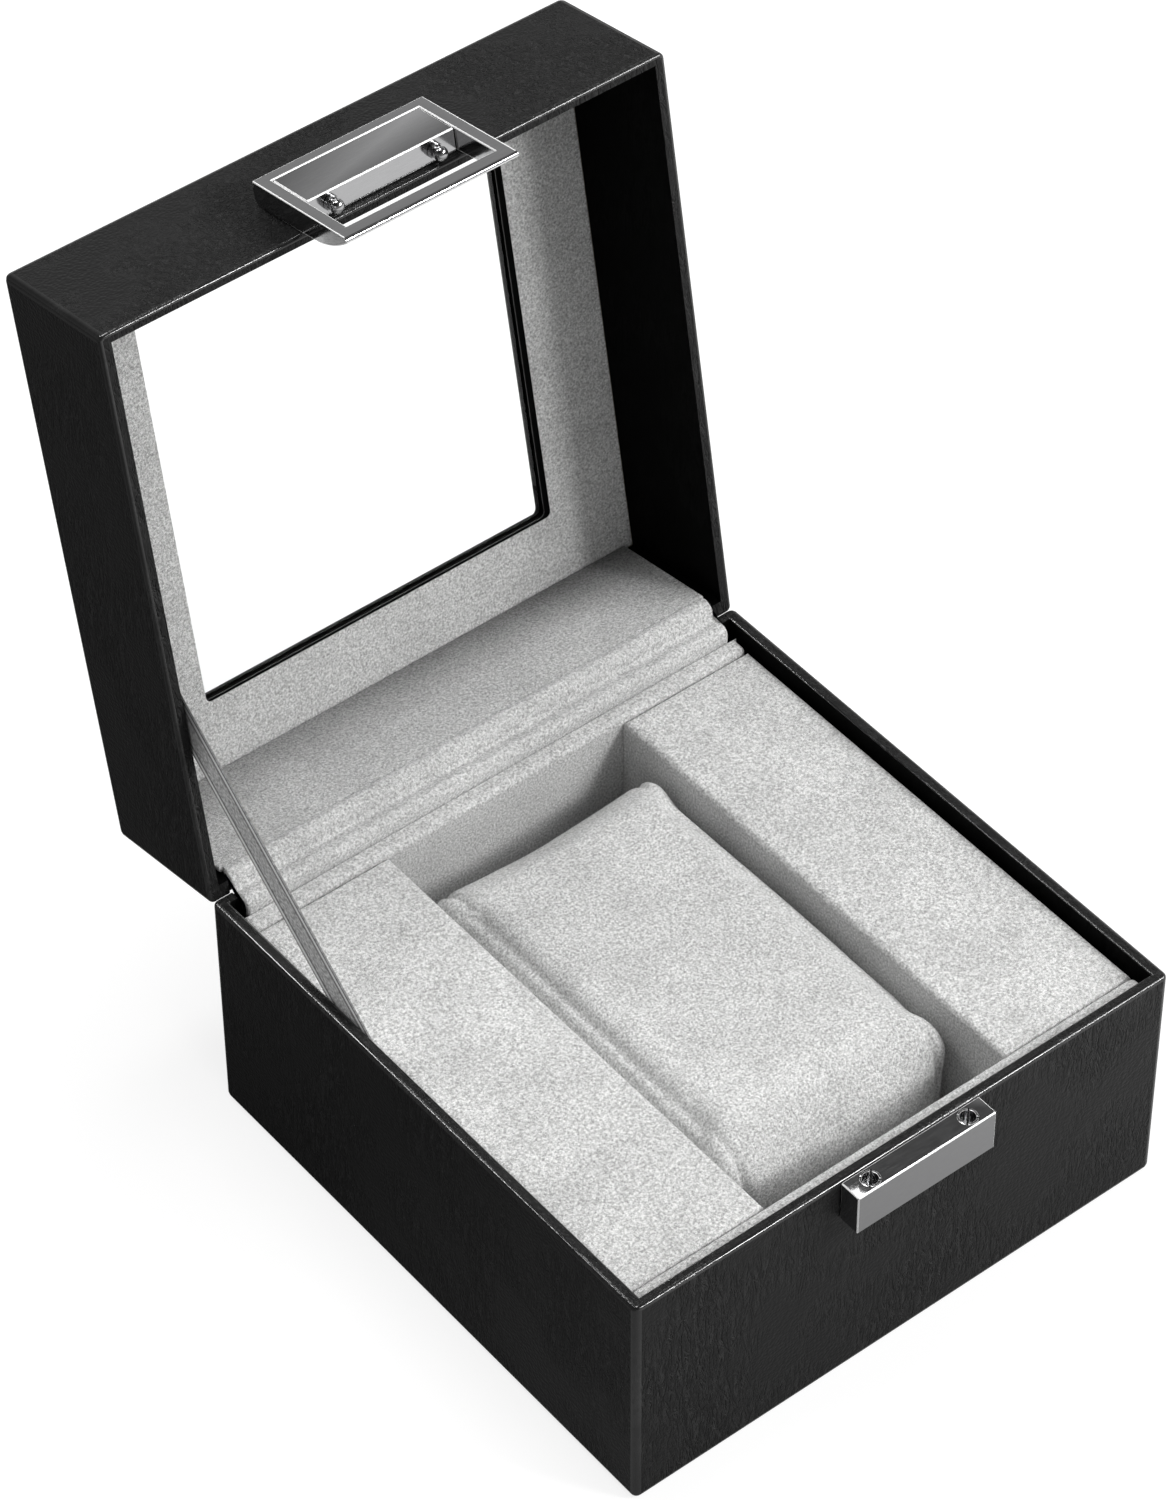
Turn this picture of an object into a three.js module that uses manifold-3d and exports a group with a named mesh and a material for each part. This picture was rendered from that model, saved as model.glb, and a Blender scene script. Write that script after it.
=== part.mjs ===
// Display case: a square box covered in black artificial leather, with a glazed lid that stands
// open, a metal clasp on the front, and a velvet inside with a cushion in its well.
// Millimetres, +Z up. X runs along the hinge, +Y is the back. The origin is the middle of the underside.

import * as THREE from 'three';
import { RoundedBoxGeometry } from 'three/addons/geometries/RoundedBoxGeometry.js';
import { mergeVertices } from 'three/addons/utils/BufferGeometryUtils.js';
import Module from 'manifold-3d';

const wasm = await Module();
wasm.setup();

// Case: outside sizes, how far the shut lid stands out at the back, and how far it is open
const caseWidth = 100.6;
const caseDepth = 100;
const baseHeight = 43.5;
const lidHeight = 24.4;
const lidOverhang = 1.2;
const openAngle = THREE.MathUtils.degToRad(100);
const rimGap = 0.2;
const edgeRound = 1;

// Walls: a greyboard wrapped in artificial leather on both faces
const baseWall = 1.8;
const baseSideWall = 2.1;
const lidWall = 1.6;
const lidSideWall = 1.9;
const skin = 0.3;
const glue = 0.1;
const cutOver = 5;

// Underside and bottom
const padThickness = 0.2;
const padInset = 1.5;
const turnUnder = 12;
const bottomBoard = 1.6;
const turnInDepth = 14;

// Velvet parts of the base
const velvet = 0.5;
const liningThickness = 2.9;
const liningDrop = 2.1;
const liningRound = 1.2;
const sideGap = 0.6;
const wellHalfWidth = 22.7;
const shoulderDrop = 2.5;
const shoulderCard = 1.2;
const shoulderRound = 1.2;
const shoulderFrontGap = 0.6;
const shoulderBackGap = 0.2;
const velvetTurnDown = 8;
const floorThickness = 1;

// Cushion
const pillowSideGap = 1;
const pillowFrontGap = 8.7;
const pillowBackGap = 6.6;
const pillowDrop = 4.5;
const pillowRest = 0.3;
const pillowEndDraw = 1.6;
const pillowCloth = 0.6;
const pillowSeam = 0.3;
const pillowEndLength = 3.2;
const pillowStations = 10;
const pillowPoints = 32;
const pillowPower = 4;
const pillowEndPower = 5;

// Lid: glazed window, its pane and its linings
const lidTop = 2.2;
const windowWidth = 65.4;
const windowDepth = 69;
const windowRound = 1;
const paneThickness = 0.7;
const paneLap = 3;
const lidLining = 0.9;
const lidLiningRimEnd = 2;

// Hinge: two steel leaves, their barrel and the pin, under a padded velvet roll
const axisOut = 0.2;
const barrelRadius = 0.6;
const pinRadius = 0.3;
const pinClearance = 0.08;
const leafThickness = 0.4;
const leafBite = 0.1;
const leafLength = 92;
const leafFlange = 5;
const leafEndGap = 0.6;
const knuckleCount = 5;
const knuckleGap = 0.3;
const knuckleClearance = 0.25;
const hingeScrewRadius = 0.5;
const hingeScrewCount = 3;
const rollInset = 0.2;
const rollPad = 1.5;
const rollFoot = 3.6;
const rollRise = 0.4;
const rollRound = 1;
const rollBulge = 0.6;
const creaseThickness = 0.35;

// Stay ribbon on the left side
const ribbonWidth = 6.5;
const ribbonThickness = 0.3;
const ribbonFromHinge = 30.2;
const ribbonTail = 10;
const ribbonSideGap = 0.1;

// Clasp: a block with two studs on the lid, a block with two sockets on the base, and the hasp frame
const blockWidth = 26;
const blockDepth = 4;
const blockBevel = 0.2;
const latchLow = 1.1;
const latchHigh = 9.4;
const strikeHeight = 7.7;
const studSpacing = 18.4;
const studFromWall = 2.05;
const studCollarRadius = 1.25;
const studNeckRadius = 0.85;
const studTipRadius = 1.15;
const studLength = 2.6;
const studCollarLength = 0.8;
const studNoseShare = 0.75;
const studRoundShare = 0.6;
const socketRadius = 1.6;
const socketWall = 0.35;
const socketDepth = 4;
const socketFloor = 0.4;
const socketSlot = 0.35;
const socketSlotDepth = 3;
const socketSlotTurn = THREE.MathUtils.degToRad(45);
const socketClearance = 0.06;
const claspScrewRadius = 0.8;
const claspScrewSpacing = 10;
const claspScrewBite = 2;
const claspScrewHeadRadius = 1.5;
const claspScrewHead = 0.4;
const claspGap = 0.1;

const haspBorder = 2.1;
const haspSideGap = 0.1;
const haspFarEdge = 11.5;
const haspWindowFar = 9.5;
const haspWindowNear = -8.5;
const haspNearEdge = -10.7;
const haspProud = 0.05;
const haspPlate = 1;
const haspPinRadius = 0.45;
const haspPinFromWall = 1.5;
const haspPinHeight = 10.1;
const haspKnuckleRadius = 0.7;
const haspHeelRadius = 1.3;
const haspHoleClearance = 0.08;
const haspPinCover = 0.5;
const haspFarSkirt = 0.45;
const haspWallGap = 0.4;
const haspBellyStart = -4.1;
const haspLip = 0.6;
const haspLipDepth = 3.3;
const haspBellyPull = 0.5;
const haspBellyDrop = 3.7;
const haspHookWidth = 21;
const haspHookReach = 0.4;
const haspHookNear = 2;
const haspHookFar = 3.2;

// Facets of round things
const boreSides = 24;
const pinSides = 16;
const arcSteps = 6;

const leather = new THREE.MeshStandardMaterial({ color: 0x1c1c1c, roughness: 0.45, metalness: 0 });
const greyboard = new THREE.MeshStandardMaterial({ color: 0x8d8779, roughness: 0.9, metalness: 0 });
const velour = new THREE.MeshStandardMaterial({ color: 0xc4c4c2, roughness: 1, metalness: 0 });
const foam = new THREE.MeshStandardMaterial({ color: 0xd8d6cf, roughness: 1, metalness: 0 });
const paper = new THREE.MeshStandardMaterial({ color: 0x202020, roughness: 0.9, metalness: 0 });
const chrome = new THREE.MeshStandardMaterial({ color: 0x9a9a9a, roughness: 0.15, metalness: 1 });
const steel = new THREE.MeshStandardMaterial({ color: 0x8c8c8c, roughness: 0.35, metalness: 1 });
const glass = new THREE.MeshStandardMaterial({ color: 0xf4f8f8, roughness: 0.02, metalness: 0 });
const satin = new THREE.MeshStandardMaterial({ color: 0x7c7c7c, roughness: 0.5, metalness: 0 });

// A closed mesh with its shared vertices merged, as a solid that can be joined and cut
function solid(geometry) {
  geometry.deleteAttribute('normal');
  geometry.deleteAttribute('uv');
  const merged = mergeVertices(geometry);
  const vertProperties = merged.attributes.position.array;
  const triVerts = new Uint32Array(merged.index.array);
  return new wasm.Manifold(new wasm.Mesh({ numProp: 3, vertProperties, triVerts }));
}

function geometryOf(shape) {
  const mesh = shape.getMesh();
  const geometry = new THREE.BufferGeometry();
  geometry.setAttribute('position', new THREE.BufferAttribute(mesh.vertProperties, 3));
  geometry.setIndex(new THREE.BufferAttribute(mesh.triVerts, 1));
  geometry.computeVertexNormals();
  return geometry;
}

function piece(group, name, shape, material) {
  const mesh = new THREE.Mesh(geometryOf(shape), material.clone());
  mesh.name = name;
  group.add(mesh);
  return mesh;
}

const middle = ([low, high]) => (low + high) / 2;
const extent = ([low, high]) => high - low;
const both = (half) => [-half, half];

function box(x, y, z) {
  const geometry = new THREE.BoxGeometry(extent(x), extent(y), extent(z));
  return solid(geometry.translate(middle(x), middle(y), middle(z)));
}

function roundBox(x, y, z, radius, steps = 2) {
  const geometry = new RoundedBoxGeometry(extent(x), extent(y), extent(z), steps, radius);
  return solid(geometry.translate(middle(x), middle(y), middle(z)));
}

function rodAlongX(radius, x, y, z, sides = pinSides) {
  const geometry = new THREE.CylinderGeometry(radius, radius, extent(x), sides);
  return solid(geometry.rotateZ(Math.PI / 2).translate(middle(x), y, z));
}

function rodAlongY(radius, x, y, z, sides = pinSides) {
  const geometry = new THREE.CylinderGeometry(radius, radius, extent(y), sides);
  return solid(geometry.translate(x, middle(y), z));
}

function rodAlongZ(radius, x, y, z, sides = pinSides) {
  const geometry = new THREE.CylinderGeometry(radius, radius, extent(z), sides);
  return solid(geometry.rotateX(Math.PI / 2).translate(x, y, middle(z)));
}

// An outline drawn as (y, z), drawn out along X
function drawnAlongX(outline, x) {
  const settings = { depth: extent(x), bevelEnabled: false, curveSegments: arcSteps };
  const geometry = new THREE.ExtrudeGeometry(outline, settings);
  const turn = new THREE.Matrix4().set(0, 0, 1, 0, 1, 0, 0, 0, 0, 1, 0, 0, 0, 0, 0, 1);
  return solid(geometry.applyMatrix4(turn).translate(x[0], 0, 0));
}

// A rounded rectangle in the XY plane, drawn out along Z
function roundPlate(x, y, z, radius) {
  const outline = new THREE.Shape();
  outline.moveTo(x[0] + radius, y[0]);
  outline.lineTo(x[1] - radius, y[0]);
  outline.absarc(x[1] - radius, y[0] + radius, radius, -Math.PI / 2, 0);
  outline.absarc(x[1] - radius, y[1] - radius, radius, 0, Math.PI / 2);
  outline.absarc(x[0] + radius, y[1] - radius, radius, Math.PI / 2, Math.PI);
  outline.absarc(x[0] + radius, y[0] + radius, radius, Math.PI, 1.5 * Math.PI);
  const settings = { depth: extent(z), bevelEnabled: false, curveSegments: arcSteps };
  return solid(new THREE.ExtrudeGeometry(outline, settings).translate(0, 0, z[0]));
}

const joined = (shapes) => shapes.reduce((sum, shape) => sum.add(shape));

// Like pieces in a row along X, each with the name of its place
function row(group, name, places, shapes, material) {
  places.forEach((place, i) => piece(group, `${name}_${place}`, shapes[i], material));
}

// Places that several pieces share
const halfWidth = caseWidth / 2;
const halfDepth = caseDepth / 2;
const wrap = skin + glue;
const coverLow = padThickness + glue;
const baseFloor = coverLow + wrap + bottomBoard + glue;
const innerBase = { x: halfWidth - baseSideWall, y: halfDepth - baseWall };
const linerHalfWidth = innerBase.x - sideGap;
const axisY = halfDepth + axisOut;
const axisZ = baseHeight + rimGap / 2;
const leafHalf = leafLength / 2;
const notchHalf = leafHalf + leafEndGap;
const leafRise = barrelRadius - leafBite;
const setDown = leafRise + leafThickness + glue - rimGap / 2;
const flangeBack = innerBase.y - glue;
const flangeFront = flangeBack - leafThickness;
const backLiningBack = flangeFront - glue - rollPad - glue;
const claspScrews = [-claspScrewSpacing / 2, claspScrewSpacing / 2];
const studs = [-studSpacing / 2, studSpacing / 2];
const strikeMiddle = baseHeight - strikeHeight / 2;
const hingeScrewsShare = Array.from({ length: hingeScrewCount }, (_, i) => (i + 0.5) / hingeScrewCount);
const hingeScrewPlaces = hingeScrewsShare.map((share) => leafLength * share - leafHalf);

const displayCase = new THREE.Group();
const base = new THREE.Group();
const pillow = new THREE.Group();
displayCase.add(base, pillow);

// The lid's own frame: its rim is at z = 0 and the outside of its back wall at y = 0, and it turns
// about the hinge pin
const lidTurn = new THREE.Group();
lidTurn.position.set(0, axisY, axisZ);
lidTurn.rotation.x = -openAngle;
const lid = new THREE.Group();
lid.position.set(0, -axisOut, rimGap / 2);
lidTurn.add(lid);
displayCase.add(lidTurn);
lidTurn.updateMatrixWorld(true);

// A shape drawn in the lid's frame, as it stands in the case's frame with the lid open
function asOpened(shape) {
  return solid(geometryOf(shape).applyMatrix4(lid.matrixWorld));
}

// Screws through the front boards into the two clasp blocks
function claspScrewHoles(wallFace, z, inwards) {
  const holeRadius = claspScrewRadius + glue;
  const y = [wallFace - claspScrewBite - glue, wallFace + inwards];
  return joined(claspScrews.map((x) => rodAlongY(holeRadius, x, y, z)));
}

function claspScrewPair(wallFace, wall, z) {
  const inner = wallFace + wall + glue;
  const shank = [wallFace - claspScrewBite, inner + claspScrewHead / 2];
  const head = [inner, inner + claspScrewHead];
  return claspScrews.map((x) => {
    const body = rodAlongY(claspScrewRadius, x, shank, z);
    return body.add(rodAlongY(claspScrewHeadRadius, x, head, z));
  });
}

// Screws that hold a hinge leaf's flange to the back board behind it
const baseHingeScrewLength = leafThickness + glue + skin + glue + (baseWall - 2 * wrap) / 2;
const lidHingeScrewLength = leafThickness + glue + skin + glue + (lidWall - 2 * wrap) / 2;

function leafScrews(flangeFace, length, z) {
  const span = [flangeFace, flangeFace + length];
  return hingeScrewPlaces.map((x) => rodAlongY(hingeScrewRadius, x, span, z));
}

function leafScrewHoles(flangeFace, length, z) {
  const span = [flangeFace - cutOver, flangeFace + length + glue];
  return joined(hingeScrewPlaces.map((x) => rodAlongY(hingeScrewRadius + glue, x, span, z)));
}

const baseHingeScrewZ = axisZ - leafRise - leafThickness / 2 - leafFlange / 2;
const lidHingeScrewZ = leafRise - rimGap / 2 + leafThickness / 2 + leafFlange / 2;
const lidFlangeBack = -lidWall - glue;
const lidFlangeFront = lidFlangeBack - leafThickness;

// Base: greyboard walls and bottom
const baseBoardShell = roundBox(
  both(halfWidth - wrap), both(halfDepth - wrap), [coverLow + wrap, baseHeight - wrap],
  edgeRound - wrap,
);
const baseBoardZ = [baseFloor, baseHeight - wrap + cutOver];
const baseBoardInner = { x: innerBase.x + wrap, y: innerBase.y + wrap };
const baseNotchBoard = box(
  both(notchHalf + wrap), [baseBoardInner.y - cutOver, halfDepth + cutOver],
  [baseHeight - setDown - wrap, baseHeight + cutOver],
);
const baseScrewHoles = claspScrewHoles(-halfDepth, strikeMiddle, baseWall + glue);

const bottomBoardShape = box(
  both(halfWidth - wrap), both(halfDepth - wrap), [coverLow + wrap, coverLow + wrap + bottomBoard],
);
piece(base, 'base_bottom_board', bottomBoardShape.intersect(baseBoardShell), greyboard);

const baseFront = box(both(halfWidth), [-halfDepth, -baseBoardInner.y], baseBoardZ);
piece(base, 'base_front_board', baseFront.intersect(baseBoardShell).subtract(baseScrewHoles), greyboard);

const baseBack = box(both(halfWidth), [baseBoardInner.y, halfDepth], baseBoardZ);
const baseBackHoles = leafScrewHoles(flangeFront, baseHingeScrewLength, baseHingeScrewZ);
const baseBackShape = baseBack.intersect(baseBoardShell).subtract(baseNotchBoard).subtract(baseBackHoles);
piece(base, 'base_back_board', baseBackShape, greyboard);

const baseSideY = both(baseBoardInner.y - glue);
const baseLeft = box([-halfWidth, -baseBoardInner.x], baseSideY, baseBoardZ);
piece(base, 'base_left_board', baseLeft.intersect(baseBoardShell), greyboard);
const baseRight = box([baseBoardInner.x, halfWidth], baseSideY, baseBoardZ);
piece(base, 'base_right_board', baseRight.intersect(baseBoardShell), greyboard);

// Base: one sheet of artificial leather over the outside, the rim, the top of the inside and the
// border of the underside
function baseCover() {
  const outside = roundBox(both(halfWidth), both(halfDepth), [coverLow, baseHeight], edgeRound);
  const pocket = roundBox(
    both(halfWidth - skin), both(halfDepth - skin), [coverLow + skin, baseHeight - skin],
    edgeRound - skin,
  );
  const turnInZ = [baseHeight - turnInDepth, baseHeight + cutOver];
  const turnIn = box(both(innerBase.x + skin), both(innerBase.y + skin), turnInZ);
  const notchSkin = box(
    both(notchHalf + skin), [innerBase.y, halfDepth], [baseHeight - setDown - skin, baseHeight],
  );
  const mouth = box(both(innerBase.x), both(innerBase.y), [coverLow + skin + edgeRound, baseHeight + cutOver]);
  const notch = box(
    both(notchHalf), [innerBase.y - cutOver, halfDepth + cutOver],
    [baseHeight - setDown, baseHeight + cutOver],
  );
  const underside = box(
    both(halfWidth - turnUnder), both(halfDepth - turnUnder), [coverLow - cutOver, coverLow + cutOver],
  );
  const hollow = pocket.subtract(turnIn).subtract(notchSkin);
  const shell = outside.subtract(hollow).subtract(mouth).subtract(notch).subtract(underside);
  return shell.subtract(baseScrewHoles).subtract(baseBackHoles);
}
piece(base, 'base_cover', baseCover(), leather);

const padShape = roundPlate(
  both(halfWidth - padInset), both(halfDepth - padInset), [0, padThickness], edgeRound,
);
piece(base, 'base_underside_pad', padShape, paper);

// Base: padded linings in front of and behind the well, the well's floor and the two shoulders
const liningZ = [baseFloor, baseHeight - liningDrop];
const frontLiningY = [-innerBase.y + glue, -innerBase.y + glue + liningThickness];
const frontLining = roundBox(both(linerHalfWidth), frontLiningY, liningZ, liningRound);
const screwHeadRoom = joined(claspScrews.map((x) => rodAlongY(
  claspScrewHeadRadius + glue, x, [-innerBase.y - cutOver, -innerBase.y + claspScrewHead + wrap],
  strikeMiddle,
)));
piece(base, 'front_lining', frontLining.subtract(screwHeadRoom), velour);

const backLiningY = [backLiningBack - liningThickness, backLiningBack];
piece(base, 'back_lining', roundBox(both(linerHalfWidth), backLiningY, liningZ, liningRound), velour);

const floorY = [frontLiningY[1] + glue, backLiningY[0] - glue];
const floorShape = box(both(wellHalfWidth - glue), floorY, [baseFloor, baseFloor + floorThickness]);
piece(base, 'well_floor', floorShape, velour);

const shoulderTop = baseHeight - shoulderDrop;
const shoulderY = [frontLiningY[1] + shoulderFrontGap, backLiningY[0] - shoulderBackGap];

// The section of a shoulder between two depths below its velvet face, with its two upper corners round
function shoulderSection(inset, side, low) {
  const inner = wellHalfWidth + inset;
  const outer = linerHalfWidth - inset;
  const top = shoulderTop - inset;
  const round = shoulderRound - inset;
  const x = side > 0 ? [inner, outer] : [-outer, -inner];
  const geometry = roundBox(x, [shoulderY[0] - cutOver, shoulderY[1] + cutOver], [low - cutOver, top], round);
  return geometry.intersect(box(x, shoulderY, [low, top]));
}

function shoulderForm(side) {
  const outside = shoulderSection(velvet + glue, side, baseFloor);
  const x = [wellHalfWidth + velvet + glue + shoulderCard, linerHalfWidth - velvet - glue - shoulderCard];
  const hollowX = side > 0 ? x : [-x[1], -x[0]];
  const hollowTop = shoulderTop - velvet - glue - shoulderCard;
  const hollowY = [shoulderY[0] - cutOver, shoulderY[1] + cutOver];
  return outside.subtract(box(hollowX, hollowY, [baseFloor - cutOver, hollowTop]));
}

function shoulderVelvet(side) {
  const outside = shoulderSection(0, side, baseFloor);
  const inner = wellHalfWidth + velvet;
  const outer = linerHalfWidth - velvet;
  const x = side > 0 ? [inner, outer] : [-outer, -inner];
  const roomY = [shoulderY[0] - 2 * cutOver, shoulderY[1] + 2 * cutOver];
  const room = roundBox(x, roomY, [baseFloor - 2 * cutOver, shoulderTop - velvet], shoulderRound - velvet);
  const wallSide = side > 0 ? [inner + cutOver, halfWidth] : [-halfWidth, -inner - cutOver];
  const open = box(wallSide, roomY, [baseFloor - cutOver, shoulderTop - velvetTurnDown]);
  return outside.subtract(room).subtract(open);
}

piece(base, 'shoulder_form_left', shoulderForm(-1), greyboard);
piece(base, 'shoulder_form_right', shoulderForm(1), greyboard);
piece(base, 'shoulder_velvet_left', shoulderVelvet(-1), velour);
piece(base, 'shoulder_velvet_right', shoulderVelvet(1), velour);

// Cushion: a closed form whose section is a rounded square, crowned over its width, with its ends
// drawn in. It lifts out of the well.
const pillowWidth = 2 * (wellHalfWidth - pillowSideGap);
const pillowY = [frontLiningY[1] + pillowFrontGap, backLiningY[0] - pillowBackGap];
const pillowZ = [baseFloor + floorThickness + pillowRest, baseHeight - pillowDrop];

function pillowForm(inset) {
  const halfX = pillowWidth / 2 - inset;
  const positions = [];
  const faces = [];
  for (let i = 0; i <= pillowStations; i += 1) {
    const turn = (Math.PI * i) / pillowStations - Math.PI / 2;
    const along = Math.sign(turn) * Math.abs(Math.sin(turn)) ** (2 / pillowEndPower);
    const draw = pillowEndDraw * (1 - Math.abs(Math.cos(turn)) ** (2 / pillowEndPower));
    const halfY = extent(pillowY) / 2 - inset - draw;
    const halfZ = extent(pillowZ) / 2 - inset - draw;
    for (let j = 0; j < pillowPoints; j += 1) {
      const angle = (2 * Math.PI * j) / pillowPoints;
      const c = Math.cos(angle);
      const s = Math.sin(angle);
      const y = halfY * Math.sign(c) * Math.abs(c) ** (2 / pillowPower);
      const z = halfZ * Math.sign(s) * Math.abs(s) ** (2 / pillowPower);
      positions.push(halfX * along, middle(pillowY) + y, middle(pillowZ) + z);
    }
  }
  const ring = (i, j) => i * pillowPoints + (j % pillowPoints);
  for (let i = 0; i < pillowStations; i += 1) {
    for (let j = 0; j < pillowPoints; j += 1) {
      faces.push(ring(i, j), ring(i, j + 1), ring(i + 1, j + 1));
      faces.push(ring(i, j), ring(i + 1, j + 1), ring(i + 1, j));
    }
  }
  for (const [end, station] of [[0, 0], [1, pillowStations]]) {
    const centre = positions.length / 3;
    positions.push(halfX * (end ? 1 : -1), middle(pillowY), middle(pillowZ));
    for (let j = 0; j < pillowPoints; j += 1) {
      const edge = [ring(station, j), ring(station, j + 1)];
      faces.push(centre, ...(end ? edge : edge.reverse()));
    }
  }
  const geometry = new THREE.BufferGeometry();
  geometry.setAttribute('position', new THREE.BufferAttribute(new Float32Array(positions), 3));
  geometry.setIndex(faces);
  return solid(geometry);
}

const pillowSkin = pillowForm(0).subtract(pillowForm(pillowCloth));
const pillowEndX = pillowWidth / 2 - pillowEndLength;
const allPillowY = both(caseDepth);
const allPillowZ = [0, baseHeight];
const sleeveRoom = box(both(pillowEndX - pillowSeam / 2), allPillowY, allPillowZ);
piece(pillow, 'pillow_sleeve', pillowSkin.intersect(sleeveRoom), velour);
const leftEndRoom = box([-pillowWidth, -pillowEndX - pillowSeam / 2], allPillowY, allPillowZ);
piece(pillow, 'pillow_end_left', pillowSkin.intersect(leftEndRoom), velour);
const rightEndRoom = box([pillowEndX + pillowSeam / 2, pillowWidth], allPillowY, allPillowZ);
piece(pillow, 'pillow_end_right', pillowSkin.intersect(rightEndRoom), velour);
piece(pillow, 'pillow_foam', pillowForm(pillowCloth + glue), foam);

// Lid: greyboard walls and the frame board round the window
const lidInner = { x: halfWidth - lidSideWall, low: -caseDepth + lidWall, high: -lidWall };
const lidBoardInner = { x: lidInner.x + wrap, low: lidInner.low - wrap, high: lidInner.high + wrap };
const lidLiningLow = lidHeight - lidTop;
const lidBoardLow = lidLiningLow + velvet + glue;
const lidBoardHigh = lidHeight - wrap;
const lidBoardShell = roundBox(
  both(halfWidth - wrap), [-caseDepth + wrap, lidOverhang - wrap], [wrap, lidBoardHigh],
  edgeRound - wrap,
);
const lidWallZ = [wrap - cutOver, lidBoardLow - glue];
const latchMiddle = (latchLow + latchHigh) / 2;
const lidScrewHoles = claspScrewHoles(-caseDepth, latchMiddle, lidWall + glue);
const lidBackHoles = leafScrewHoles(lidFlangeFront, lidHingeScrewLength, lidHingeScrewZ);
const lidNotchBoard = box(
  both(notchHalf + wrap), [lidBoardInner.high - cutOver, cutOver], [-cutOver, setDown + wrap],
);

const lidFront = box(both(halfWidth), [-caseDepth, lidBoardInner.low], lidWallZ);
piece(lid, 'lid_front_board', lidFront.intersect(lidBoardShell).subtract(lidScrewHoles), greyboard);
const lidBack = box(both(halfWidth), [lidBoardInner.high, lidOverhang], lidWallZ);
const lidBackShape = lidBack.intersect(lidBoardShell).subtract(lidNotchBoard).subtract(lidBackHoles);
piece(lid, 'lid_back_board', lidBackShape, greyboard);
const lidSideY = [lidBoardInner.low + glue, lidBoardInner.high - glue];
const lidLeft = box([-halfWidth, -lidBoardInner.x], lidSideY, lidWallZ);
piece(lid, 'lid_left_board', lidLeft.intersect(lidBoardShell), greyboard);
const lidRight = box([lidBoardInner.x, halfWidth], lidSideY, lidWallZ);
piece(lid, 'lid_right_board', lidRight.intersect(lidBoardShell), greyboard);

// A plate that is larger or smaller than the window by the same margin on every side
const windowMiddleY = -halfDepth;
function windowPlate(margin, z, round) {
  const x = both(windowWidth / 2 + margin);
  const y = [windowMiddleY - windowDepth / 2 - margin, windowMiddleY + windowDepth / 2 + margin];
  return roundPlate(x, y, z, round);
}

const paneZ = [lidBoardLow, lidBoardLow + paneThickness];
const throughLid = [-cutOver, lidHeight + cutOver];
const frameBoard = box(both(halfWidth), [-caseDepth, lidOverhang], [lidBoardLow, lidHeight]);
const frameRebate = windowPlate(paneLap + glue, [lidBoardLow - cutOver, paneZ[1] + glue], windowRound);
const frameShape = frameBoard.intersect(lidBoardShell).subtract(frameRebate);
const frameWindow = windowPlate(wrap, throughLid, windowRound + wrap);
piece(lid, 'lid_frame_board', frameShape.subtract(frameWindow), greyboard);

// Lid: the leather goes over the outside, the rim, the inside of the walls and the window's edge
function lidCover() {
  const outside = roundBox(both(halfWidth), [-caseDepth, lidOverhang], [0, lidHeight], edgeRound);
  const pocket = roundBox(
    both(halfWidth - skin), [-caseDepth + skin, lidOverhang - skin], [skin, lidHeight - skin],
    edgeRound - skin,
  );
  const turnInZ = [-cutOver, lidLiningLow - glue];
  const turnIn = box(both(lidInner.x + skin), [lidInner.low - skin, lidInner.high + skin], turnInZ);
  const notchSkin = box(both(notchHalf + skin), [lidInner.high, lidOverhang], [0, setDown + skin]);
  const mouthZ = [-cutOver, lidLiningLow];
  const mouth = box(both(lidInner.x), [lidInner.low, lidInner.high], mouthZ);
  const notch = box(both(notchHalf), [lidInner.high - cutOver, cutOver], [-cutOver, setDown]);
  const lip = windowPlate(skin, [paneZ[1] + glue, lidHeight - skin / 2], windowRound + skin);
  const hollow = pocket.subtract(turnIn).subtract(notchSkin).subtract(lip);
  const shell = outside.subtract(hollow).subtract(mouth).subtract(notch);
  const holes = lidScrewHoles.add(lidBackHoles);
  return shell.subtract(windowPlate(0, throughLid, windowRound)).subtract(holes);
}
piece(lid, 'lid_cover', lidCover(), leather);
piece(lid, 'window_pane', windowPlate(paneLap, paneZ, windowRound), glass);

const lidVelvetX = both(lidInner.x - glue);
const lidVelvetY = [lidInner.low + glue, lidInner.high - glue];
const lidVelvet = box(lidVelvetX, lidVelvetY, [lidLiningLow, lidLiningLow + velvet]);
const lidVelvetWindow = windowPlate(0, throughLid, windowRound);
piece(lid, 'lid_lining_frame', lidVelvet.subtract(lidVelvetWindow), velour);

const lidLiningY = [lidInner.high - glue - lidLining, lidInner.high - glue];
const lidLiningShape = box(both(notchHalf + glue), lidLiningY, [lidLiningRimEnd, lidLiningLow - glue]);
const flangeRoom = box(
  both(leafHalf + glue), [lidFlangeFront - glue, 0],
  [-cutOver, leafRise - rimGap / 2 + leafFlange + glue],
);
piece(lid, 'lid_lining_back', lidLiningShape.subtract(flangeRoom), velour);

// Hinge: an angle leaf on each back wall, with knuckles that take turns along the pin
const knuckleLength = (leafLength - knuckleGap * (knuckleCount - 1)) / knuckleCount;
const knuckleStart = (i) => i * (knuckleLength + knuckleGap) - leafHalf;

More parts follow.
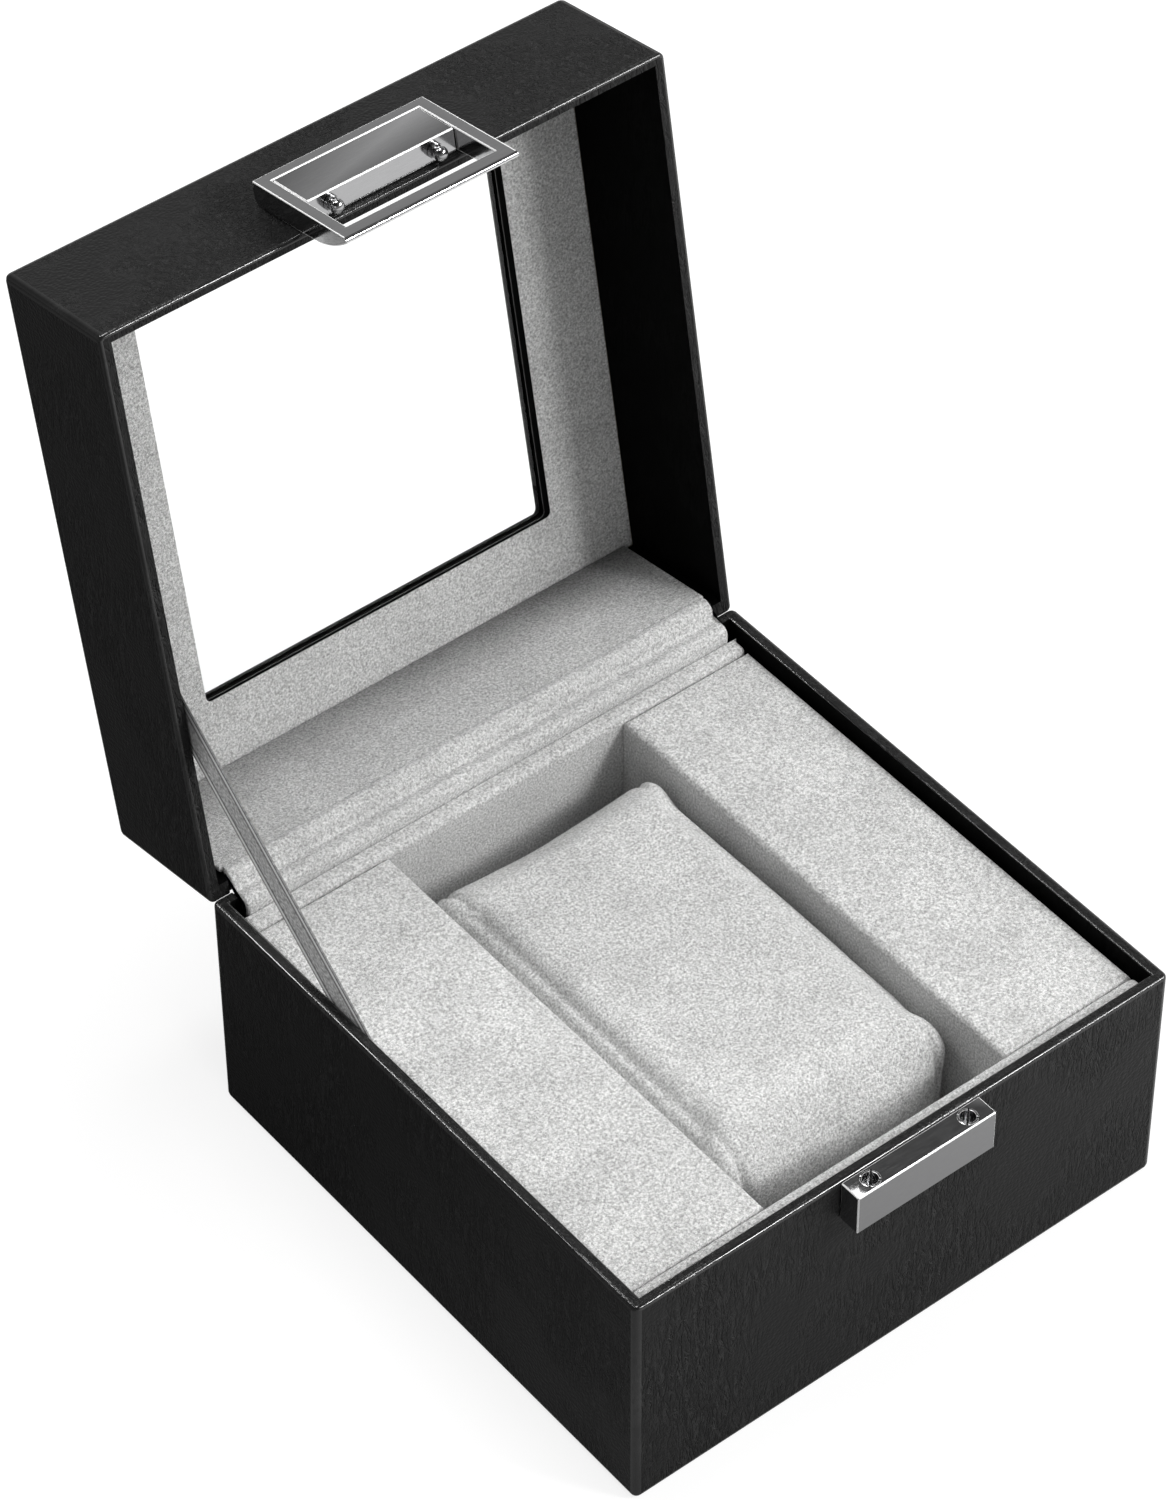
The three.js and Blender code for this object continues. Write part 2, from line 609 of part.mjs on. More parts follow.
function leaf(first, pinY, pinZ, plateZ, flange, flangeZ) {
  const plate = box(both(leafHalf), [flange[0], pinY], plateZ);
  let shape = plate.add(box(both(leafHalf), flange, flangeZ));
  for (let i = 1 - first; i < knuckleCount; i += 2) {
    const x = [knuckleStart(i) - knuckleGap, knuckleStart(i) + knuckleLength + knuckleGap];
    const reach = [pinY - barrelRadius - knuckleClearance, pinY + cutOver];
    shape = shape.subtract(box(x, reach, [pinZ - cutOver, pinZ + cutOver]));
  }
  for (let i = first; i < knuckleCount; i += 2) {
    const x = [knuckleStart(i), knuckleStart(i) + knuckleLength];
    shape = shape.add(rodAlongX(barrelRadius, x, pinY, pinZ));
  }
  return shape.subtract(rodAlongX(pinRadius + pinClearance, both(caseWidth), pinY, pinZ));
}

const basePlateZ = [axisZ - leafRise - leafThickness, axisZ - leafRise];
const baseFlangeZ = [basePlateZ[1] - leafFlange, basePlateZ[1]];
const baseLeaf = leaf(0, axisY, axisZ, basePlateZ, [flangeFront, flangeBack], baseFlangeZ);
piece(base, 'hinge_leaf_base', baseLeaf.subtract(baseBackHoles), steel);

const lidPinZ = -rimGap / 2;
const lidPlateZ = [lidPinZ + leafRise, lidPinZ + leafRise + leafThickness];
const lidFlangeZ = [lidPlateZ[0], lidPlateZ[0] + leafFlange];
const lidLeaf = leaf(1, axisOut, lidPinZ, lidPlateZ, [lidFlangeFront, lidFlangeBack], lidFlangeZ);
piece(lid, 'hinge_leaf_lid', lidLeaf.subtract(lidBackHoles), steel);

piece(base, 'hinge_pin', rodAlongX(pinRadius, both(leafHalf), axisY, axisZ), steel);
const threePlaces = ['left', 'middle', 'right'];
const twoPlaces = ['left', 'right'];
const baseLeafScrews = leafScrews(flangeFront, baseHingeScrewLength, baseHingeScrewZ);
row(base, 'hinge_screw_base', threePlaces, baseLeafScrews, steel);
const lidLeafScrews = leafScrews(lidFlangeFront, lidHingeScrewLength, lidHingeScrewZ);
row(lid, 'hinge_screw_lid', threePlaces, lidLeafScrews, steel);

// Hinge lining: one padded velvet strip from the back lining of the base over the hinge to the lid
function hingeLining() {
  const x = both(notchHalf - rollInset);
  const baseRoll = roundBox(
    [x[0] - rollRound, x[1] + rollRound], [backLiningBack + glue, axisY - barrelRadius],
    [axisZ - leafRise - rollFoot - rollRound, axisZ + rollRise], rollRound,
  );
  const lidRoll = roundBox(
    [x[0] - rollRound, x[1] + rollRound], [lidLiningY[0], -creaseThickness],
    [lidPinZ - rollBulge, lidLiningRimEnd + rollRound], rollRound,
  );
  const lidRollEnd = box(both(caseWidth), [-caseDepth, cutOver], [-cutOver, lidLiningRimEnd - glue]);
  const crease = rodAlongX(barrelRadius + glue + creaseThickness, x, axisY, axisZ, boreSides);
  const creaseRoom = box(both(caseWidth), [axisY - cutOver, axisY], [axisZ, axisZ + cutOver]);
  const baseRollEnd = box(both(caseWidth), both(caseDepth), [axisZ - leafRise - rollFoot, caseWidth]);
  const rolls = baseRoll.intersect(baseRollEnd).add(asOpened(lidRoll.intersect(lidRollEnd)));
  const strip = rolls.add(crease.intersect(creaseRoom));
  const baseRoom = box(
    both(caseWidth), [flangeFront - glue, caseDepth], [-cutOver, basePlateZ[1] + glue],
  );
  const lidRoom = box(both(caseWidth), [lidFlangeFront - glue, cutOver], [lidPlateZ[0] - glue, cutOver]);
  const barrelRoom = rodAlongX(barrelRadius + glue, both(caseWidth), axisY, axisZ, boreSides);
  const cut = strip.subtract(baseRoom).subtract(asOpened(lidRoom)).subtract(barrelRoom);
  return cut.intersect(box(x, both(caseDepth), [0, caseWidth]));
}
piece(base, 'hinge_lining', hingeLining(), velour);

// Stay: a flat satin ribbon that runs taut from the base's left wall to the lid's
function stayRibbon() {
  const low = new THREE.Vector3(0, axisY - ribbonFromHinge, axisZ);
  const high = new THREE.Vector3(
    0, axisY - ribbonFromHinge * Math.cos(openAngle), axisZ + ribbonFromHinge * Math.sin(openAngle),
  );
  const run = high.clone().sub(low);
  const slope = Math.atan2(run.z, run.y);
  const length = run.length() + 2 * ribbonTail;
  const centre = low.add(high).multiplyScalar(0.5);
  const x = -innerBase.x + ribbonSideGap + ribbonThickness / 2;
  const geometry = new THREE.BoxGeometry(ribbonThickness, length, ribbonWidth);
  return solid(geometry.rotateX(slope).translate(x, centre.y, centre.z));
}
piece(base, 'stay_ribbon', stayRibbon(), satin);

// Clasp, base side: the strike block with its two split sockets
const strikeZ = [baseHeight - strikeHeight, baseHeight];
const strikeY = [-halfDepth - blockDepth, -halfDepth - claspGap];
function strikeBlock() {
  const block = roundBox(both(blockWidth / 2), strikeY, strikeZ, blockBevel, 1);
  const holeZ = [baseHeight - socketDepth - glue, baseHeight + cutOver];
  const y = -halfDepth - studFromWall;
  const holes = studs.map((x) => rodAlongZ(socketRadius + socketClearance, x, y, holeZ, boreSides));
  return block.subtract(joined(holes)).subtract(baseScrewHoles);
}
piece(base, 'strike_block', strikeBlock(), chrome);

function socket(x) {
  const y = -halfDepth - studFromWall;
  const z = [baseHeight - socketDepth, baseHeight];
  const sleeve = rodAlongZ(socketRadius, x, y, z, boreSides);
  const bore = rodAlongZ(socketRadius - socketWall, x, y, [z[0] + socketFloor, z[1] + cutOver], boreSides);
  const slotZ = [baseHeight - socketSlotDepth, baseHeight + cutOver];
  return [socketSlotTurn, -socketSlotTurn].reduce((sum, turn) => {
    const slot = new THREE.BoxGeometry(2 * cutOver, socketSlot, extent(slotZ));
    return sum.subtract(solid(slot.rotateZ(turn).translate(x, y, middle(slotZ))));
  }, sleeve.subtract(bore));
}
row(base, 'strike_socket', twoPlaces, studs.map(socket), chrome);
row(base, 'strike_screw', twoPlaces, claspScrewPair(-halfDepth, baseWall, strikeMiddle), steel);

// Clasp, lid side: the latch block with the knuckle that the hasp hangs on, and its two studs
const pinY = -caseDepth - haspPinFromWall;
function latchBlock() {
  const y = [-caseDepth - blockDepth, -caseDepth - claspGap];
  const block = roundBox(both(blockWidth / 2), y, [latchLow, latchHigh], blockBevel, 1);
  const half = blockWidth / 2 - haspSideGap;
  const knuckle = rodAlongX(haspKnuckleRadius, both(half), pinY, haspPinHeight, boreSides);
  const webY = [pinY - haspKnuckleRadius / 2, pinY + haspKnuckleRadius / 2];
  const web = box(both(half), webY, [latchHigh - blockBevel - glue, haspPinHeight - haspPinRadius]);
  const bore = rodAlongX(haspPinRadius + haspHoleClearance, both(caseWidth), pinY, haspPinHeight);
  const studHoles = studs.map((x) => rodAlongZ(
    studNeckRadius + glue, x, -caseDepth - studFromWall, [latchLow - cutOver, latchLow + studLength],
  ));
  return block.add(knuckle).add(web).subtract(bore).subtract(joined(studHoles)).subtract(lidScrewHoles);
}
piece(lid, 'latch_block', latchBlock(), chrome);

// A stud is turned from the rod: a tang in the block, a collar, a neck and a round nose
function stud(x) {
  const tang = latchLow + studLength - glue;
  const collarTop = latchLow - glue;
  const collarLow = collarTop - studCollarLength;
  const nose = latchLow - studLength;
  const neck = nose + 2 * studTipRadius * studNoseShare;
  const profile = [new THREE.Vector2(0, nose)];
  for (let i = 1; i <= arcSteps; i += 1) {
    const angle = (Math.PI / 2) * (i / arcSteps);
    profile.push(new THREE.Vector2(
      studTipRadius * Math.sin(angle), nose + (neck - nose) * studRoundShare * (1 - Math.cos(angle)),
    ));
  }
  profile.push(new THREE.Vector2(studNeckRadius, neck));
  profile.push(new THREE.Vector2(studNeckRadius, collarLow));
  profile.push(new THREE.Vector2(studCollarRadius, collarLow));
  profile.push(new THREE.Vector2(studCollarRadius, collarTop));
  profile.push(new THREE.Vector2(studNeckRadius, collarTop));
  profile.push(new THREE.Vector2(studNeckRadius, tang));
  profile.push(new THREE.Vector2(0, tang));
  const geometry = new THREE.LatheGeometry(profile, pinSides);
  return solid(geometry.rotateX(Math.PI / 2).translate(x, -caseDepth - studFromWall, 0));
}
row(lid, 'latch_stud', twoPlaces, studs.map(stud), chrome);
row(lid, 'latch_screw', twoPlaces, claspScrewPair(-caseDepth, lidWall, latchMiddle), steel);

const haspHalf = blockWidth / 2 + haspSideGap + haspBorder;
const haspPinHalf = haspHalf - haspPinCover - glue;
piece(lid, 'hasp_pin', rodAlongX(haspPinRadius, both(haspPinHalf), pinY, haspPinHeight), steel);

// Hasp: a frame round both blocks. Its side walls reach back to the leather, its near bar is rounded
// into a finger lip, and a ridge on that bar catches under the strike block.
function haspFrame() {
  const front = -caseDepth - blockDepth - haspProud;
  const heel = -caseDepth - haspWallGap;
  const heelTop = haspPinHeight + haspHeelRadius;
  const pinBack = pinY + haspHeelRadius;
  const lip = haspNearEdge - haspLip;
  const section = new THREE.Shape();
  section.moveTo(front, haspFarEdge);
  section.lineTo(front, haspNearEdge);
  section.quadraticCurveTo(front, lip, -caseDepth - haspLipDepth, lip);
  section.quadraticCurveTo(heel - haspBellyPull, haspBellyStart - haspBellyDrop, heel, haspBellyStart);
  section.lineTo(pinBack, 0);
  section.lineTo(pinBack, haspPinHeight);
  section.absarc(pinY, haspPinHeight, haspHeelRadius, 0, Math.PI / 2);
  section.lineTo(front + haspPlate, heelTop);
  section.lineTo(front + haspPlate, haspFarEdge);
  section.closePath();
  const full = drawnAlongX(section, both(haspHalf));
  const half = blockWidth / 2 + haspSideGap;
  const deep = [-caseDepth - 2 * cutOver, -caseDepth + cutOver];
  const opening = box(both(half), deep, [haspWindowNear, haspWindowFar]);
  const under = box(
    both(half), [front + haspPlate, -caseDepth + cutOver],
    [haspWindowFar - haspPlate, haspFarEdge - haspFarSkirt],
  );
  const hook = box(
    both(haspHookWidth / 2), [-caseDepth - haspHookFar, -caseDepth - haspHookNear],
    [haspWindowNear - haspHookReach, haspWindowNear + haspHookReach],
  );
  const holeX = haspHalf - haspPinCover;
  const hole = rodAlongX(haspPinRadius + haspHoleClearance, both(holeX), pinY, haspPinHeight);
  return full.subtract(opening).subtract(under).add(hook).subtract(hole);
}
piece(lid, 'hasp_frame', haspFrame(), chrome);

export default displayCase;
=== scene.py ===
"""A small display case, open: black artificial leather over board, light grey velvet inside, a
cushion in its well, a glazed lid held by a satin ribbon, and a bright metal clasp."""
import math

import bmesh
import bpy
from mathutils import Matrix, Vector


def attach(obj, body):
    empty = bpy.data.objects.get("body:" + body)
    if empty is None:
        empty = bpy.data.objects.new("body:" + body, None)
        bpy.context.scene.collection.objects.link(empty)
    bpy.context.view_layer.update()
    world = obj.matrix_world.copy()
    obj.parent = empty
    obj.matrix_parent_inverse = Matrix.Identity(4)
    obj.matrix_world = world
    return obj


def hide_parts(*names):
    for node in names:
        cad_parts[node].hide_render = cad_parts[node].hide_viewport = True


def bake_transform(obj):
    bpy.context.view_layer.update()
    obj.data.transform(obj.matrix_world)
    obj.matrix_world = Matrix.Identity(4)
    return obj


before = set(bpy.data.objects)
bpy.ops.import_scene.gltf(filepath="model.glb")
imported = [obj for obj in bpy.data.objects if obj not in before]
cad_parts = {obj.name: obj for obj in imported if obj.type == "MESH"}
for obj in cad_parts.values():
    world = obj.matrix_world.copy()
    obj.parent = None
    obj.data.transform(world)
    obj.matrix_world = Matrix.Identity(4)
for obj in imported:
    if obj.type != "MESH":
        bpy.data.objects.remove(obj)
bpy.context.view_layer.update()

MM = 0.001

# Camera. It looks down over the front left corner with a long lens, so that the open lid stands
# upright in the frame and the clasp faces it.
camera_place = (-0.36084, -0.43138, 0.65160)
camera_right = Vector((0.7807, -0.6249, -0.0048)).normalized()
camera_forward = Vector((0.4368, 0.5510, -0.7110)).normalized()
camera_up = camera_right.cross(camera_forward).normalized()
camera_right = camera_forward.cross(camera_up).normalized()
film_width = 36
focal_length = 134.76
nearest_seen = 0.01
lens = bpy.data.cameras.new("photo_camera")
lens.sensor_width = film_width
lens.lens = focal_length
lens.clip_start = nearest_seen
camera = bpy.data.objects.new("photo_camera", lens)
camera.matrix_world = Matrix.Translation(camera_place) @ Matrix(
    (
        (camera_right.x, camera_up.x, -camera_forward.x, 0),
        (camera_right.y, camera_up.y, -camera_forward.y, 0),
        (camera_right.z, camera_up.z, -camera_forward.z, 0),
        (0, 0, 0, 1),
    )
)
bpy.context.scene.collection.objects.link(camera)
bpy.context.scene.camera = camera
bpy.context.scene.view_settings.view_transform = "Standard"

# Floor. A wide white studio floor that takes the soft shadow of the case. In the leather and the
# metal it shows a painted reflection: to glossy rays alone it is bright towards the front right and
# dark at the left, as if a black card lay there.
floor_half = 4.0
floor_white = 0.30
floor_glow = 0.78
mirrored_glow = 0.62
mirrored_span = (-0.06, 0.26)
painted_dark_reflection = 0.6
bright_side = (0.62, -0.78, 0)


def new_material(name):
    """A material with one Principled shader, its node tree and that shader."""
    material = bpy.data.materials.new(name)
    material.use_nodes = True
    tree = material.node_tree
    return material, tree, tree.nodes["Principled BSDF"]


def add_node(tree, kind, **settings):
    """A node of that kind, with its own settings."""
    node = tree.nodes.new(kind)
    for setting, value in settings.items():
        setattr(node, setting, value)
    return node


def sums(tree, operation, first, second):
    """A Math node on two values, each a socket or a number."""
    node = add_node(tree, "ShaderNodeMath", operation=operation)
    for slot_number, value in enumerate((first, second)):
        if isinstance(value, (int, float)):
            node.inputs[slot_number].default_value = value
        else:
            tree.links.new(value, node.inputs[slot_number])
    return node.outputs[0]


def ramp(tree, value, from_low, from_high, to_low=0.0, to_high=1.0):
    """A Map Range node: value from one span to another, kept within it."""
    node = add_node(tree, "ShaderNodeMapRange")
    node.inputs["From Min"].default_value = from_low
    node.inputs["From Max"].default_value = from_high
    node.inputs["To Min"].default_value = to_low
    node.inputs["To Max"].default_value = to_high
    tree.links.new(value, node.inputs["Value"])
    return node.outputs["Result"]


def grey_of(tree, level):
    """A grey of that level."""
    grey = add_node(tree, "ShaderNodeCombineColor")
    for channel in ("Red", "Green", "Blue"):
        tree.links.new(level, grey.inputs[channel])
    return grey.outputs["Color"]


bpy.ops.object.select_all(action="DESELECT")
bpy.ops.mesh.primitive_plane_add(size=2 * floor_half)
floor = bpy.context.object
floor.name = "studio_floor"
floor_paint, tree, shader = new_material("studio_floor")
shader.inputs["Roughness"].default_value = 1
shader.inputs["Specular IOR Level"].default_value = 0
shader.inputs["Emission Color"].default_value = (1, 1, 1, 1)
path = add_node(tree, "ShaderNodeLightPath")
place = add_node(tree, "ShaderNodeTexCoord")
outwards = add_node(tree, "ShaderNodeVectorMath", operation="DOT_PRODUCT")
outwards.inputs[1].default_value = bright_side
tree.links.new(place.outputs["Object"], outwards.inputs[0])
# Painted reflection: what glossy rays see of the floor is darkened at the left and glows towards the
# front right.
lit_side = ramp(tree, outwards.outputs["Value"], *mirrored_span)
not_through = sums(tree, "SUBTRACT", 1.0, path.outputs["Is Transmission Ray"])
in_mirror = sums(tree, "MULTIPLY", path.outputs["Is Glossy Ray"], not_through)
painted_dark_share = sums(tree, "MULTIPLY", sums(tree, "SUBTRACT", 1.0, lit_side), painted_dark_reflection)
dark_side = sums(tree, "MULTIPLY", in_mirror, painted_dark_share)
level = sums(tree, "MULTIPLY", sums(tree, "SUBTRACT", 1.0, dark_side), floor_white)
tree.links.new(grey_of(tree, level), shader.inputs["Base Color"])
to_eye = sums(tree, "MAXIMUM", path.outputs["Is Camera Ray"], path.outputs["Is Transmission Ray"])
glow_to_eye = sums(tree, "MULTIPLY", to_eye, floor_glow)
glow_to_mirror = sums(tree, "MULTIPLY", sums(tree, "MULTIPLY", in_mirror, lit_side), mirrored_glow)
tree.links.new(sums(tree, "ADD", glow_to_eye, glow_to_mirror), shader.inputs["Emission Strength"])
floor.data.materials.append(floor_paint)

# Light. A soft lamp on the right, a smaller one at the front, a wide one overhead and a small one
# behind the left that draws the edges, in a pale room that is dim overhead, behind and on the left.
room = bpy.data.worlds.new("studio_room")
bpy.context.scene.world = room
room.use_nodes = True
tree = room.node_tree
background = tree.nodes["Background"]
fill_front = 0.54
fill_back = 0.18
room_level = 0.68
room_overhead = 0.10
room_left = 0.25
dimming_up = (0.12, 0.72)
dimming_left = (-0.30, 0.10)
dimming_back = (-0.8, 0.3)
direction = add_node(tree, "ShaderNodeTexCoord")
heading = add_node(tree, "ShaderNodeSeparateXYZ")
tree.links.new(direction.outputs["Generated"], heading.inputs[0])
upward = ramp(tree, heading.outputs["Z"], *dimming_up, room_level, room_overhead)
sideward = ramp(tree, heading.outputs["X"], *dimming_left, room_left, 1.0)
mirrored = sums(tree, "MULTIPLY", upward, sideward)
path = add_node(tree, "ShaderNodeLightPath")
seen = add_node(tree, "ShaderNodeMix", data_type="FLOAT")
fill = ramp(tree, heading.outputs["Y"], *dimming_back, fill_front, fill_back)
tree.links.new(fill, seen.inputs["A"])
tree.links.new(path.outputs["Is Glossy Ray"], seen.inputs["Factor"])
tree.links.new(mirrored, seen.inputs["B"])
through = sums(tree, "MAXIMUM", path.outputs["Is Camera Ray"], path.outputs["Is Transmission Ray"])
white = add_node(tree, "ShaderNodeMix", data_type="FLOAT")
white.inputs["B"].default_value = 1.0
tree.links.new(through, white.inputs["Factor"])
tree.links.new(seen.outputs["Result"], white.inputs["A"])
tree.links.new(white.outputs["Result"], background.inputs["Strength"])
background.inputs["Color"].default_value = (1, 1, 1, 1)


def soft_lamp(name, place, aim, size, power):
    """A square soft box that hangs at place and faces aim."""
    data = bpy.data.lights.new(name, "AREA")
    data.size = size
    data.energy = power
    lamp = bpy.data.objects.new(name, data)
    lamp.location = place
    lamp.rotation_euler = (Vector(aim) - Vector(place)).to_track_quat("-Z", "Y").to_euler()
    bpy.context.scene.collection.objects.link(lamp)


over_case = (0, 0, 0.03)
over_rim = (0, 0, 0.05)
soft_lamp("key_lamp", place=(0.80, -0.60, 0.75), aim=over_case, size=0.40, power=6.0)
soft_lamp("front_lamp", place=(0.52, -0.85, 0.76), aim=over_case, size=0.20, power=5.9)
soft_lamp("top_lamp", place=(0.10, 0.34, 1.50), aim=over_case, size=0.60, power=11.0)
soft_lamp("edge_lamp", place=(-0.42, 0.72, 1.00), aim=over_rim, size=0.22, power=3.0)

# Underside. A sheet of matt black paper is glued under the bottom board, a little smaller than it,
# and covers the edge of the leather that is turned under.
noise_span = (0.3, 0.7)


def noise_over(tree, place, scale, detail):
    """A Noise node over a place."""
    node = add_node(tree, "ShaderNodeTexNoise")
    node.inputs["Scale"].default_value = scale
    node.inputs["Detail"].default_value = detail
    tree.links.new(place, node.inputs["Vector"])
    return node


def raise_grain(tree, shader, height, depth):
    """Relief of that depth, in metres, on a shader."""
    relief = add_node(tree, "ShaderNodeBump")
    relief.inputs["Distance"].default_value = depth
    tree.links.new(height, relief.inputs["Height"])
    tree.links.new(relief.outputs["Normal"], shader.inputs["Normal"])


def fibre_coat(name, dark, light, fibre_scale, roughness, depth):
    """A matt material of short mixed fibres: raw board, paper or foam."""
    material, tree, shader = new_material(name)
    place = add_node(tree, "ShaderNodeTexCoord")
    fibre = noise_over(tree, place.outputs["Object"], fibre_scale, detail=5)
    tone = add_node(tree, "ShaderNodeValToRGB")
    for stop, position, colour in zip(tone.color_ramp.elements, noise_span, (dark, light)):
        stop.position = position
        stop.color = (*colour, 1)
    tree.links.new(fibre.outputs["Fac"], tone.inputs["Fac"])
    tree.links.new(tone.outputs["Color"], shader.inputs["Base Color"])
    raise_grain(tree, shader, fibre.outputs["Fac"], depth)
    shader.inputs["Roughness"].default_value = roughness
    return material


def cover_node(material, *nodes):
    """Gives a kept solid its finish."""
    for node in nodes:
        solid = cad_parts[node]
        solid.data.materials.clear()
        solid.data.materials.append(material)


black_paper = fibre_coat(
    "black_paper", dark=(0.010, 0.010, 0.010), light=(0.022, 0.022, 0.022), fibre_scale=900,
    roughness=0.85, depth=2e-5,
)
cover_node(black_paper, "base_underside_pad")

# Boards. Grey pressed board, hidden under the leather and the velvet: the bottom, the walls of the
# base and the lid, the frame round the window, and the folded card under each shoulder.
greyboard = fibre_coat(
    "greyboard", dark=(0.21, 0.19, 0.15), light=(0.34, 0.31, 0.26), fibre_scale=1400,
    roughness=0.95, depth=3e-5,
)
board_names = [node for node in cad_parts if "board" in node or "shoulder_form" in node]
cover_node(greyboard, *board_names)

# Leather of the base. One sheet of grained artificial leather goes round the outside, over the rim
# and a little way down the inside, and is turned under round the bottom.
case_side = 50.3
case_end = 50.0
case_low = 0.3
case_rim = 43.5
base_wall = 1.8
base_side_wall = 2.1
leather_turn_in = 14.0
leather_turn_under = 12.0
leather_thick = 0.3
leather_corner = 1.1
leather_edge = 0.65
leather_inner_edge = 0.35
facet = 0.05
flat_face = 0.9
upright_face = 0.5
notch_half = 46.6
notch_depth = 0.9
notch_slope = 0.1
within_slope = notch_slope / 2
leather_grey = 0.0105
painted_shade_share = 0.15
pebble_depth = 0.55
crease_stretch = (900, 900, 210)
crease_width = 0.10
crease_highlight_share = 2.8
patch_scale = 62
patch_span = (0.42, 0.60)
gloss_drift = 0.05


def start_block(name, low, high):
    """A block between two corners given in millimetres, left open in edit mode with nothing picked."""
    bpy.ops.object.select_all(action="DESELECT")
    centre = [(a + b) / 2 * MM for a, b in zip(low, high)]
    bpy.ops.mesh.primitive_cube_add(size=1, location=centre)
    piece = bpy.context.object
    piece.name = piece.data.name = name
    piece.scale = [(b - a) * MM for a, b in zip(low, high)]
    bpy.ops.object.transform_apply(location=True, rotation=True, scale=True)
    bpy.ops.object.mode_set(mode="EDIT")
    bpy.ops.mesh.select_all(action="DESELECT")
    return piece


def pick_faces(piece, test):
    """Picks the faces whose middle, in millimetres, and normal pass the test."""
    bpy.ops.mesh.select_mode(type="FACE")
    mesh = bmesh.from_edit_mesh(piece.data)
    for face in mesh.faces:
        face.select_set(bool(test(face.calc_center_median() / MM, face.normal)))
    mesh.select_flush_mode()
    bmesh.update_edit_mesh(piece.data)


def pick_edges(piece, test):
    """Picks the edges whose two ends, in millimetres, pass the test."""
    bpy.ops.mesh.select_mode(type="EDGE")
    bpy.ops.mesh.select_all(action="DESELECT")
    mesh = bmesh.from_edit_mesh(piece.data)
    for edge in mesh.edges:
        edge.select_set(bool(test(edge.verts[0].co / MM, edge.verts[1].co / MM)))
    mesh.select_flush_mode()
    bmesh.update_edit_mesh(piece.data)


def pick_points(piece, test):
    """Picks the points whose place, in millimetres, passes the test."""
    bpy.ops.mesh.select_mode(type="VERT")
    bpy.ops.mesh.select_all(action="DESELECT")
    mesh = bmesh.from_edit_mesh(piece.data)
    for point in mesh.verts:
        point.select_set(bool(test(point.co / MM)))
    mesh.select_flush_mode()
    bmesh.update_edit_mesh(piece.data)


def inset_by(distance):
    """Draws the picked face in from its edges."""
    bpy.ops.mesh.inset(thickness=distance * MM, use_even_offset=True)


def pull_by(x, y, z):
    """Draws the picked faces out, in millimetres."""
    bpy.ops.mesh.extrude_region_move(TRANSFORM_OT_translate={"value": (x * MM, y * MM, z * MM)})


def cut_across(place, normal):
    """Adds a line of edges where a plane crosses the piece."""
    bpy.ops.mesh.select_all(action="SELECT")
    bpy.ops.mesh.bisect(plane_co=[p * MM for p in place], plane_no=normal)


def round_over(radius, steps, finish=-1):
    """Bevels what is picked; finish is the number of the material that the new faces take."""
    bpy.ops.mesh.bevel(
        offset=radius * MM, segments=steps, affect="EDGES", clamp_overlap=True, material=finish
    )


def finish_faces(piece, number, test):
    """Gives another of its finishes to the faces whose middle and normal pass the test."""
    for face in piece.data.polygons:
        if test(face.center / MM, face.normal):
            face.material_index = number


def take(piece):
    """Leaves edit mode and picks one piece alone."""
    if bpy.context.mode != "OBJECT":
        bpy.ops.object.mode_set(mode="OBJECT")
    bpy.ops.object.select_all(action="DESELECT")
    bpy.context.view_layer.objects.active = piece
    piece.select_set(True)


def apply_modifier(piece, kind, **settings):
    """Adds a modifier with its settings and applies it."""
    take(piece)
    modifier = piece.modifiers.new(kind.lower(), kind)
    for setting, value in settings.items():
        setattr(modifier, setting, value)
    bpy.ops.object.modifier_apply(modifier=modifier.name)


def smooth_over(piece, degrees):
    """Smooth shading over the rounded edges, with flat faces kept flat."""
    take(piece)
    bpy.ops.object.shade_smooth_by_angle(angle=math.radians(degrees))
    apply_modifier(piece, "WEIGHTED_NORMAL", keep_sharp=True, weight=100)


def near(a, b, within=0.02):
    """True for two sizes that are the same but for rounding."""
    return abs(a - b) < within


def finishes(piece, *materials):
    """Gives a piece its finishes, the first one everywhere for the time being."""
    piece.data.materials.clear()
    for material in materials:
        piece.data.materials.append(material)


def dress(piece, material, body=None, nodes=()):
    """Gives a piece its material and its body, and hides the solids it stands for."""
    if material:
        finishes(piece, material)
    if nodes:
        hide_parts(*nodes)
    if body:
        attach(piece, body)


def new_group(name, inputs, outputs):
    """A node group with named number, vector and colour sockets."""
    group = bpy.data.node_groups.new(name, "ShaderNodeTree")
    for label, kind, value in inputs:
        socket = group.interface.new_socket(name=label, in_out="INPUT", socket_type=kind)
        if value is not None:
            socket.default_value = value
    for label, kind in outputs:
        group.interface.new_socket(name=label, in_out="OUTPUT", socket_type=kind)
    return group, add_node(group, "NodeGroupInput"), add_node(group, "NodeGroupOutput")


